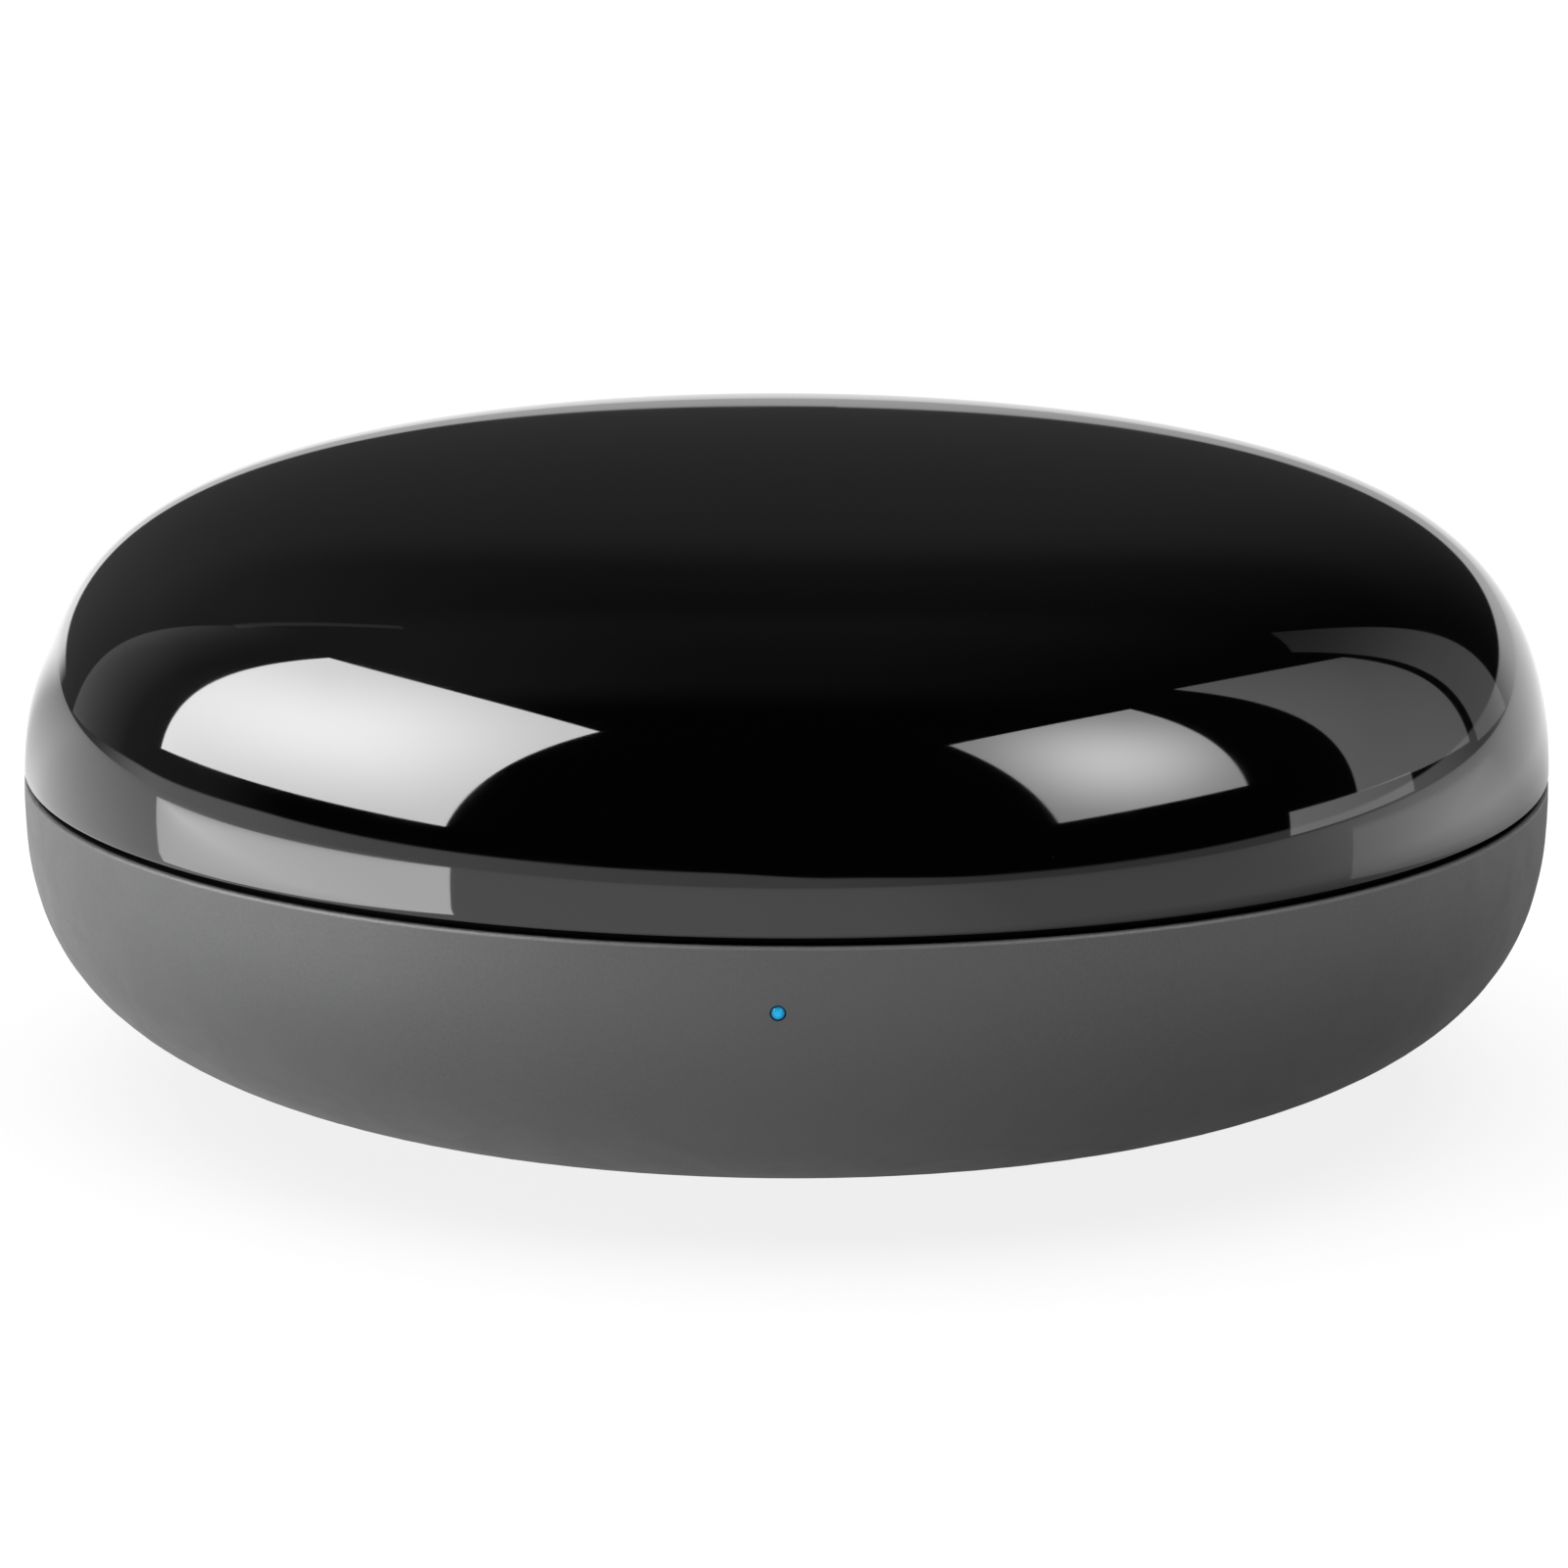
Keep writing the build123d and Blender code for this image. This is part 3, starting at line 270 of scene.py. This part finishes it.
def label_film():
    """Blank silver-grey polyester label with a fine printed frame and a brushed direction."""
    material, g = new_material("label_film")
    where = g.add("ShaderNodeTexCoord").outputs["Object"]
    low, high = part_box("rating_label")
    half = (high - low) / 2
    x, y, _ = g.split(where)
    edge_x = g.maths("SUBTRACT", half.x - LABEL_MARGIN, g.maths("ABSOLUTE", x))
    edge_y = g.maths("SUBTRACT", half.y - LABEL_MARGIN, g.maths("ABSOLUTE", y))
    line = g.maths("COMPARE", g.maths("MINIMUM", edge_x, edge_y), 0.0, LABEL_LINE / 2)
    stretch = g.add("ShaderNodeMapping", {"Vector": where, "Scale": (0.06, 1.0, 1.0)}).outputs[0]
    brushed = g.noise(stretch, 0.12 * MM, detail=3.0)
    film = g.mix(brushed, (0.36, 0.365, 0.37, 1), (0.46, 0.465, 0.47, 1))
    base = g.mix(line, film, (0.03, 0.03, 0.032, 1))
    inputs = {"Base Color": base, "Roughness": g.remap(brushed, 0.3, 0.7, 0.32, 0.46)}
    inputs["Normal"] = g.bump(brushed, 0.003 * MM)
    close(g, g.add("ShaderNodeBsdfPrincipled", inputs).outputs["BSDF"])
    return material


# ---- materials of the inside ---------------------------------------------------------------------
def board_mask(name, mask, trace):
    """Solder mask over copper: traces stand a little proud and read lighter than the gaps."""
    material, g = new_material(name)
    where = g.add("ShaderNodeTexCoord").outputs["Object"]
    cells = g.cells(where, 3.4 * MM, 0.35)
    cells.node.feature = "DISTANCE_TO_EDGE"
    tracks = g.remap(cells, 0.06, 0.09, 1.0, 0.0, smooth=True)
    dots = g.remap(g.cells(where, 4.8 * MM, 0.8), 0.055, 0.07, 1.0, 0.0, smooth=True)
    weave = g.noise(where, 0.5 * MM, detail=3.0)
    base = g.mix(tracks, mask, trace)
    base = g.mix(dots, base, (0.42, 0.33, 0.16, 1))
    height = g.maths("ADD", tracks, g.maths("MULTIPLY", weave, 0.3))
    inputs = {"Base Color": base, "Roughness": g.remap(weave, 0.3, 0.7, 0.22, 0.34)}
    inputs["Normal"] = g.bump(height, 0.02 * MM)
    inputs["Metallic"] = dots
    close(g, g.add("ShaderNodeBsdfPrincipled", inputs).outputs["BSDF"])
    return material


TONGUE_HEIGHT = 2.0 * MM            # of the shell's tongue, which enters the cover
SHELL_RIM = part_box("bottom_shell")[1].z - TONGUE_HEIGHT
SHELL_GREY = (0.078, 0.078, 0.080)
LABEL_MARGIN = 1.1 * MM             # from the label's edge to its printed frame
LABEL_LINE = 0.24 * MM


def finish(roughness, grain, depth, **more):
    """What surface takes after its colour, with the grain's size and depth in millimetres."""
    return {"roughness": roughness, "grain": grain * MM, "depth": depth * MM, **more}


PLAIN_SURFACES = {
    "foot_rubber": ((0.022, 0.022, 0.023), finish(0.78, 0.3, 0.02, spread=0.2, uneven=0.08)),
    "screw_steel": ((0.52, 0.52, 0.54), finish(0.30, 0.25, 0.006, Metallic=1.0)),
    "tinned_metal": ((0.64, 0.64, 0.63), finish(0.27, 0.5, 0.006, Metallic=1.0)),
    "contact_gold": ((0.86, 0.60, 0.24), finish(0.22, 0.3, 0.003, Metallic=1.0)),
    "socket_insulator": ((0.012, 0.012, 0.013), finish(0.45, 0.2, 0.01)),
    "key_plastic": ((0.030, 0.030, 0.032), finish(0.38, 0.2, 0.012, spread=0.15)),
    "switch_plastic": ((0.017, 0.017, 0.018), finish(0.5, 0.3, 0.01)),
    "plunger_plastic": ((0.50, 0.46, 0.36), finish(0.5, 0.3, 0.01)),
    "led_package": ((0.78, 0.78, 0.73), finish(0.4, 0.3, 0.005, spread=0.05)),
    "receiver_epoxy": ((0.012, 0.010, 0.013), finish(0.16, 0.8, 0.004, spread=0.2)),
    "chip_epoxy": ((0.016, 0.016, 0.017), finish(0.58, 0.18, 0.012, spread=0.2)),
    "coil_wire": ((0.70, 0.30, 0.14), finish(0.24, 0.6, 0.004, Metallic=1.0)),
    "ferrite": ((0.050, 0.050, 0.053), finish(0.62, 0.25, 0.02, spread=0.25)),
    "capacitor_can": ((0.74, 0.74, 0.75), finish(0.2, 0.7, 0.004, Metallic=1.0)),
    "chip_ceramic": ((0.30, 0.19, 0.10), finish(0.48, 0.3, 0.008)),
    "emitter_epoxy": (      # water-clear, with a faint blue tint
        (0.62, 0.68, 0.86),
        finish(0.08, 1.2, 0.004, spread=0.04, uneven=0.03, IOR=1.54, Transmission_Weight=0.75),
    ),
}

materials = {
    "cover_gloss": cover_gloss(),
    "shell_matt": shell_matt(),
    "light_clear": light_clear(),
    "label_film": label_film(),
    "board_mask": board_mask("board_mask", (0.006, 0.075, 0.028, 1), (0.016, 0.14, 0.055, 1)),
    "radio_board_mask": board_mask(
        "radio_board_mask", (0.006, 0.007, 0.009, 1), (0.018, 0.02, 0.024, 1)
    ),
}
for name, (colour, settings) in PLAIN_SURFACES.items():
    materials[name] = surface(name, colour, **settings)

for part in frame["record"]["subparts"]:
    mesh = nodes[part["node"]].data
    mesh.materials.clear()
    mesh.materials.append(materials[part["material_slot"]])


# ---- gloss cover, turned finely so that reflections run smoothly over it -------------------------
COVER_HEIGHT = 22.9 * MM            # rim to crown
COVER_HANDLES = ((1.0, 1.022), (0.612, 0.85), (0.5, 1.0))    # shares of radius and height
COVER_WALL = 2.0 * MM
COVER_SEGMENTS = 256
RIM_FILLET = 0.25 * MM
RIM_STEPS = 6
SHARP_EDGE = math.radians(35)
REBATE_RADIUS = radius - 1.0 * MM
REBATE_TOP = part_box("bottom_shell")[1].z + 0.1 * MM
POST_RADIUS = 3.5 * MM
POST_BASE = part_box("top_cover")[0].z
PILOT_RADIUS = 1.32 * MM
PILOT_DEPTH = 6.0 * MM
RIB_LENGTH = 14.0 * MM
RIB_THICKNESS = 1.2 * MM
RIB_HEIGHT = 9.0 * MM               # down from the underside of the crown
POST_ANGLES = (45, 135, 225, 315)
# To the corner of the screws' box, which takes in their heads: 3.5 mm past their middles.
POST_CIRCLE = math.dist(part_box("housing_screws")[0].xy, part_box("housing_screws")[1].xy) / 2
crown_level = cad_high.z
rim_level = crown_level - COVER_HEIGHT


def cover_curve(inset, t):
    """(radius, level) on the cover's side, taken in by inset, at t from rim (0) to crown (1)."""
    shares = ((1.0, 0.0), *COVER_HANDLES, (0.0, 1.0))
    weights = [math.comb(4, i) * t ** i * (1 - t) ** (4 - i) for i in range(5)]
    out = sum(weight * share[0] for weight, share in zip(weights, shares))
    up = sum(weight * share[1] for weight, share in zip(weights, shares))
    return out * (radius - inset), rim_level + up * (COVER_HEIGHT - inset)


def curve_part(inset, axis, value):
    """How far along the cover's side it reaches a radius (axis 0) or a level (axis 1)."""
    start, end = 0.0, 1.0
    rising = axis == 1
    for _ in range(40):
        half = (start + end) / 2
        if (cover_curve(inset, half)[axis] < value) == rising:
            start = half
        else:
            end = half
    return start


def ceiling(out):
    """Level half way through the cover's wall, over a point this far from the axis."""
    return cover_curve(COVER_WALL / 2, curve_part(COVER_WALL / 2, 0, out))[1]


def turned(mesh, profile, steps):
    """Adds a closed profile of (radius, level) points, both ends on the axis, turned about +Z."""
    rings = []
    for out, level in profile[1:-1]:
        ring = []
        for i in range(steps):
            turn = math.tau * i / steps
            ring.append(mesh.verts.new((out * math.cos(turn), out * math.sin(turn), level)))
        rings.append(ring)
    first = mesh.verts.new((0, 0, profile[0][1]))
    last = mesh.verts.new((0, 0, profile[-1][1]))
    for i in range(steps):
        after = (i + 1) % steps
        mesh.faces.new((first, rings[0][i], rings[0][after]))
        mesh.faces.new((last, rings[-1][after], rings[-1][i]))
        for upper, lower in zip(rings, rings[1:]):
            mesh.faces.new((upper[i], lower[i], lower[after], upper[after]))


def cover_profile(steps=140):
    """Section of the cover: crown, outer side, rim, rebate for the shell's tongue, inner side."""
    start = curve_part(0.0, 1, rim_level + RIM_FILLET)
    outside = [cover_curve(0.0, 1 - (1 - start) * i / steps) for i in range(steps + 1)]
    corner = []
    for i in range(1, RIM_STEPS + 1):
        turn = math.pi / 2 * i / RIM_STEPS
        out = radius - RIM_FILLET * (1 - math.cos(turn))
        corner.append((out, rim_level + RIM_FILLET * (1 - math.sin(turn))))
    start = curve_part(COVER_WALL, 1, REBATE_TOP)
    inside = [cover_curve(COVER_WALL, start + (1 - start) * i / steps) for i in range(steps + 1)]
    rebate = [(REBATE_RADIUS, rim_level), (REBATE_RADIUS, REBATE_TOP)]
    return outside + corner + rebate + inside


def screw_post(mesh, x, y, steps=40):
    """A round post down from the wall, with a blind pilot bore up its middle."""
    def ring(reach, level_at):
        points = []
        for i in range(steps):
            turn = math.tau * i / steps
            px, py = x + reach * math.cos(turn), y + reach * math.sin(turn)
            points.append(mesh.verts.new((px, py, level_at(math.hypot(px, py)))))
        return points

    def base(_):
        return POST_BASE

    def bore_end(_):
        return POST_BASE + PILOT_DEPTH

    loops = [ring(PILOT_RADIUS, bore_end), ring(PILOT_RADIUS, base), ring(POST_RADIUS, base)]
    loops.append(ring(POST_RADIUS, ceiling))
    bore_top = mesh.verts.new((x, y, POST_BASE + PILOT_DEPTH))
    top = mesh.verts.new((x, y, ceiling(math.hypot(x, y))))
    for i in range(steps):
        after = (i + 1) % steps
        mesh.faces.new((bore_top, loops[0][after], loops[0][i]))
        mesh.faces.new((top, loops[-1][i], loops[-1][after]))
        for inner, outer in zip(loops, loops[1:]):
            mesh.faces.new((inner[i], inner[after], outer[after], outer[i]))


def post_rib(mesh, angle, steps=20):
    """A flat rib through a post, along the radius, its top buried in the cover's wall."""
    turn = math.radians(angle)
    along = Vector((math.cos(turn), math.sin(turn), 0))
    across = Vector((-math.sin(turn), math.cos(turn), 0)) * RIB_THICKNESS / 2
    low = crown_level - COVER_WALL - RIB_HEIGHT
    sections = []
    for i in range(steps + 1):
        middle_out = POST_CIRCLE + RIB_LENGTH * (i / steps - 0.5)
        high = ceiling(math.hypot(middle_out, RIB_THICKNESS / 2))
        corners = []
        for side, level in ((-1, low), (1, low), (1, high), (-1, high)):
            place = along * middle_out + across * side
            corners.append(mesh.verts.new((place.x, place.y, level)))
        sections.append(corners)
    for before, after in zip(sections, sections[1:]):
        for k in range(4):
            mesh.faces.new((before[k], before[k - 1], after[k - 1], after[k]))
    mesh.faces.new(sections[0])
    mesh.faces.new(reversed(sections[-1]))


def top_cover():
    sculpt = bmesh.new()
    turned(sculpt, cover_profile(), COVER_SEGMENTS)
    for angle in POST_ANGLES:
        turn = math.radians(angle)
        screw_post(sculpt, POST_CIRCLE * math.cos(turn), POST_CIRCLE * math.sin(turn))
        post_rib(sculpt, angle)
    bmesh.ops.recalc_face_normals(sculpt, faces=sculpt.faces)
    mesh = bpy.data.meshes.new("gloss_cover")
    sculpt.to_mesh(mesh)
    sculpt.free()
    mesh.shade_smooth()
    mesh.set_sharp_from_angle(angle=SHARP_EDGE)
    mesh.materials.append(materials["cover_gloss"])
    piece = bpy.data.objects.new("gloss_cover", mesh)
    bpy.context.scene.collection.objects.link(piece)
    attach(piece, "housing")
    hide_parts("top_cover")


top_cover()


# ---- table ---------------------------------------------------------------------------------------
TABLE_RADIUS = 3.0
TABLE_SIDES = 96
TABLE_WHITE = 0.85                  # as the camera sees it, with the lamps' light on top
BOUNCE_LEFT = 1.85                  # light from the table on matt surfaces
BOUNCE_RIGHT = 1.45
SHADE_CENTRE = (0.052, 0.01, 0.0)   # of the object's own shade in that light
SHADE_REACH = (0.04, 0.17)
SHADE_LEAST = 0.14
TABLE_GLOW = (          # the table in the gloss: (angle from the front, level) round the compass
    (-180, 0.75), (-152, 2.10), (-141, 0.80), (-128, 1.20), (-80, 1.45), (-20, 1.48), (10, 1.40),
    (35, 1.06), (65, 1.00), (102, 1.50), (130, 0.92), (150, 1.00), (180, 0.75),
)
HORIZON_GLOW = (        # the low bright horizon, likewise
    (-180, 0.64), (-152, 2.60), (-142, 0.05), (-127, 0.30), (-105, 1.75), (-85, 1.90), (-60, 1.60),
    (0, 1.25), (35, 0.80), (85, 0.80), (105, 1.20), (130, 0.38), (152, 1.25), (180, 0.64),
)
HORIZON_TOP = (         # as the sine of its height
    (-180, 0.039), (-150, 0.032), (-130, 0.015), (-110, 0.036), (-80, 0.062), (-10, 0.068),
    (8, 0.045), (30, 0.026), (85, 0.030), (150, 0.080), (168, 0.060), (180, 0.041),
)


def compass(g, vector):
    """Angle from the front (-Y) in degrees, positive towards +X."""
    x, y, _ = g.split(vector)
    return g.maths("DEGREES", g.maths("ARCTAN2", x, g.maths("MULTIPLY", y, -1.0)))


def table():
    """A large round pale table top, lit as one level to the eye, one to gloss and one to matt."""
    mesh = bpy.data.meshes.new("table")
    turns = [math.tau * i / TABLE_SIDES for i in range(TABLE_SIDES)]
    rim = [(TABLE_RADIUS * math.cos(a), TABLE_RADIUS * math.sin(a), cad_low.z) for a in turns]
    mesh.from_pydata(rim, [], [range(TABLE_SIDES)])
    plane = bpy.data.objects.new("table", mesh)
    bpy.context.scene.collection.objects.link(plane)
    material, g = new_material("table")
    where = g.add("ShaderNodeTexCoord").outputs["Object"]
    across, _, _ = g.split(where)
    # Painted shadow of the object: the matt and the gloss levels are dimmed near it.
    away = g.distance(where, SHADE_CENTRE)
    bounce = g.remap(across, -0.14, 0.14, BOUNCE_LEFT, BOUNCE_RIGHT, smooth=True)
    bounce = g.maths("MULTIPLY", bounce, g.remap(away, *SHADE_REACH, SHADE_LEAST, 1.0, smooth=True))
    gloss = g.ramp(compass(g, where), TABLE_GLOW)
    gloss = g.maths("MULTIPLY", gloss, g.remap(away, 0.05, 0.15, 0.25, 1.0, smooth=True))
    rays = g.add("ShaderNodeLightPath").outputs
    level = g.pick(rays["Is Glossy Ray"], TABLE_WHITE, gloss)
    level = g.pick(rays["Is Diffuse Ray"], level, bounce)
    lit = g.add("ShaderNodeEmission", {"Strength": level}).outputs["Emission"]
    soft = g.noise(where, 0.4, detail=2.0)
    pale = g.mix(soft, (0.11, 0.11, 0.11, 1), (0.13, 0.13, 0.13, 1))
    matt = g.add("ShaderNodeBsdfDiffuse", {"Color": pale}).outputs["BSDF"]
    top = g.add("ShaderNodeAddShader", {0: lit, 1: matt}).outputs["Shader"]
    clear = g.add("ShaderNodeBsdfTransparent").outputs["BSDF"]
    under = g.add("ShaderNodeNewGeometry").outputs["Backfacing"]
    close(g, g.add("ShaderNodeMixShader", {0: under, 1: top, 2: clear}).outputs["Shader"])
    mesh.materials.append(material)


table()


# ---- light ---------------------------------------------------------------------------------------
CEILING = Vector((-0.2, 0.1, 0.0))  # under the middle of the ceiling lamp
PANEL_DISTANCE = 1.8
TABLE_GLOW_LEVEL = 0.5 * MM
DARK_STUDIO = 0.004


def bearing(angle, height=0.0, distance=1.0):
    """A point at a compass angle from the front (-Y), turning towards +X."""
    turn = math.radians(angle)
    return Vector((distance * math.sin(turn), -distance * math.cos(turn), height))


def lamp(name, place, aim, width, depth, watts):
    """A soft light for matt surfaces; gloss shows the panels below instead."""
    data = bpy.data.lights.new(name, "AREA")
    data.shape = "RECTANGLE"
    data.size = width
    data.size_y = depth
    data.energy = watts
    light = bpy.data.objects.new(name, data)
    light.location = place
    light.rotation_mode = "QUATERNION"
    light.rotation_quaternion = (aim - place).to_track_quat("-Z", "Y")
    light.visible_camera = False
    light.visible_glossy = False
    bpy.context.scene.collection.objects.link(light)


def panel(name, corners, strength, falloff=0.0, fade=0.0, fade_up=0.0):
    """A glowing four-cornered sheet that only gloss sees, added to whatever is behind it.

    Its corners run start, end, end, start, the first two along its lower side. It is dimmer by
    falloff towards its edges, by fade from start to end, and by fade_up towards its upper side.
    """
    mesh = bpy.data.meshes.new(name)
    mesh.from_pydata(corners, [], [(0, 1, 2, 3)])
    uv = mesh.uv_layers.new(name="UVMap")
    for loop, place in zip(uv.data, ((0, 0), (1, 0), (1, 1), (0, 1))):
        loop.uv = place
    sheet = bpy.data.objects.new(name, mesh)
    bpy.context.scene.collection.objects.link(sheet)
    for ray in ("camera", "diffuse", "shadow", "transmission", "volume_scatter"):
        setattr(sheet, f"visible_{ray}", False)
    material, g = new_material(name)
    where = g.add("ShaderNodeUVMap").outputs["UV"]
    away = g.distance(where, (0.5, 0.5, 0.0))
    across, up, _ = g.split(where)
    level = g.remap(away, 0.0, 0.7, strength, strength * (1 - falloff), smooth=True)
    level = g.maths("MULTIPLY", level, g.remap(across, 0.0, 1.0, 1.0, 1 - fade))
    level = g.maths("MULTIPLY", level, g.remap(up, 0.45, 1.0, 1.0, 1 - fade_up, smooth=True))
    lit = g.add("ShaderNodeEmission", {"Strength": level}).outputs["Emission"]
    clear = g.add("ShaderNodeBsdfTransparent").outputs["BSDF"]
    close(g, g.add("ShaderNodeAddShader", {0: lit, 1: clear}).outputs["Shader"])
    mesh.materials.append(material)


def sky_panel(name, directions, strength, distance=PANEL_DISTANCE, **fades):
    """A panel with its corners in given directions: angle from the front, and height in degrees."""
    corners = []
    for angle, height in directions:
        rise = math.radians(height)
        corners.append(middle + bearing(angle, math.sin(rise), math.cos(rise)) * distance)
    panel(name, corners, strength, **fades)


def table_glow(name, start, end, strength, **fades):
    """A panel just over the table; start and end are x, y, and the angle and length of a side."""
    near, far = [], []
    for x, y, angle, length in (start, end):
        near.append(Vector((x, y, TABLE_GLOW_LEVEL)))
        far.append(near[-1] + bearing(angle, 0, length))
    panel(name, near + far[::-1], strength, **fades)


lamp("ceiling_lamp", CEILING + Vector((0.0, 0.0, 1.6)), CEILING, 2.6, 2.6, watts=70)
lamp("left_lamp", bearing(-80, 0.5, 0.8), middle, 0.9, 0.8, watts=1.5)

sky_panel(
    "left_panel", ((-50, 11), (-106, 8.2), (-119.5, 48.5), (-42, 58)), 20.6, falloff=0.36, fade=0.2
)
sky_panel("right_panel", ((41, 16), (73.5, 17), (80.5, 54), (34, 53.5)), 12.6, falloff=0.6)
sky_panel("low_strip", ((78, 0), (105, 0.2), (105, 4.5), (78.5, 6)), 2.5, distance=1.7, fade=0.5)
sky_panel("rear_right_panel", ((92.5, 5.3), (122.5, 2.2), (124, 36), (98.5, 54)), 1.75, fade=0.56)
sky_panel(
    "far_right_panel", ((125, 1), (138, 0), (138, 44), (126, 43)), 0.5, fade=0.35, fade_up=0.6
)
sky_panel(
    "rear_left_panel", ((-134, 0), (-114, 2), (-124, 46), (-137, 46)), 0.36,
    distance=1.9, fade=1.0, fade_up=1.0,
)
sky_panel("rear_left_streak", ((-136.5, 36), (-135, 37), (-144.5, 51), (-146, 50)), 0.16)
table_glow(
    "left_table_glow", (-0.0825, -0.103, -49, 1.62), (-0.122, -0.013, -105.5, 0.634), 8.0,
    falloff=0.1, fade=0.55,
)
table_glow(
    "right_table_glow", (0.128, -0.0355, 91.5, 0.7), (0.105, 0.060, 128, 0.7), 0.62,
    fade=1.0, fade_up=1.0,
)


def world():
    """Dark studio with a low bright horizon and a faint rear glow; the camera sees it white."""
    space = bpy.data.worlds.new("studio")
    bpy.context.scene.world = space
    space.use_nodes = True
    g = Graph(space.node_tree)
    where = g.add("ShaderNodeTexCoord").outputs["Generated"]
    turn = compass(g, where)
    x, y, up = g.split(where)
    above = g.maths("SUBTRACT", up, g.ramp(turn, HORIZON_TOP))
    below = g.remap(above, -0.008, 0.004, 1.0, 0.0, smooth=True)
    horizon = g.maths("MULTIPLY", below, g.ramp(turn, HORIZON_GLOW))
    rear = g.remap(y, -0.24, 0.10, 0.0, 1.0, smooth=True)
    rear = g.maths("MULTIPLY", rear, g.remap(x, 0.0, 0.6, 1.0, 0.15, smooth=True))
    low_glow = g.remap(up, 0.36, 0.52, 0.064, 0.034, smooth=True)
    overhead = g.maths("ADD", low_glow, g.remap(up, 0.68, 0.84, 0.0, 0.037, smooth=True))
    left = g.remap(x, -0.55, -0.05, 0.09, 0.0, smooth=True)
    glow = g.maths("MULTIPLY", rear, g.maths("ADD", overhead, left))
    level = g.maths("MAXIMUM", horizon, g.maths("ADD", glow, DARK_STUDIO))
    eye = g.add("ShaderNodeLightPath").outputs["Is Camera Ray"]
    seen = g.maths("MAXIMUM", level, eye)
    output = g.add("ShaderNodeOutputWorld")
    background = g.add("ShaderNodeBackground", {"Strength": seen})
    g.tree.links.new(background.outputs["Background"], output.inputs["Surface"])


world()


# ---- camera --------------------------------------------------------------------------------------
CAMERA_ELEVATION = 12.64            # degrees
CAMERA_TURN = 0.52                  # from the front towards +X
CAMERA_ROLL = 0.22
CAMERA_DISTANCE = 10 * radius
CAMERA_LENS = 174.15                # mm, on a 36 mm sensor
CAMERA_SHIFT = (-0.0016, -0.0159)


def camera():
    data = bpy.data.cameras.new("camera")
    data.lens = CAMERA_LENS
    data.sensor_width = 36.0
    data.shift_x, data.shift_y = CAMERA_SHIFT
    data.clip_start = 0.01
    data.clip_end = 20.0
    eye = bpy.data.objects.new("camera", data)
    tilt = math.radians(CAMERA_ELEVATION)
    back = bearing(CAMERA_TURN, math.sin(tilt), math.cos(tilt))
    eye.location = middle + back * CAMERA_DISTANCE
    eye.rotation_mode = "QUATERNION"
    roll = Quaternion((0, 0, 1), math.radians(CAMERA_ROLL))
    eye.rotation_quaternion = (-back).to_track_quat("-Z", "Y") @ roll
    bpy.context.scene.collection.objects.link(eye)
    bpy.context.scene.camera = eye


camera()
bpy.context.scene.view_settings.view_transform = "Standard"
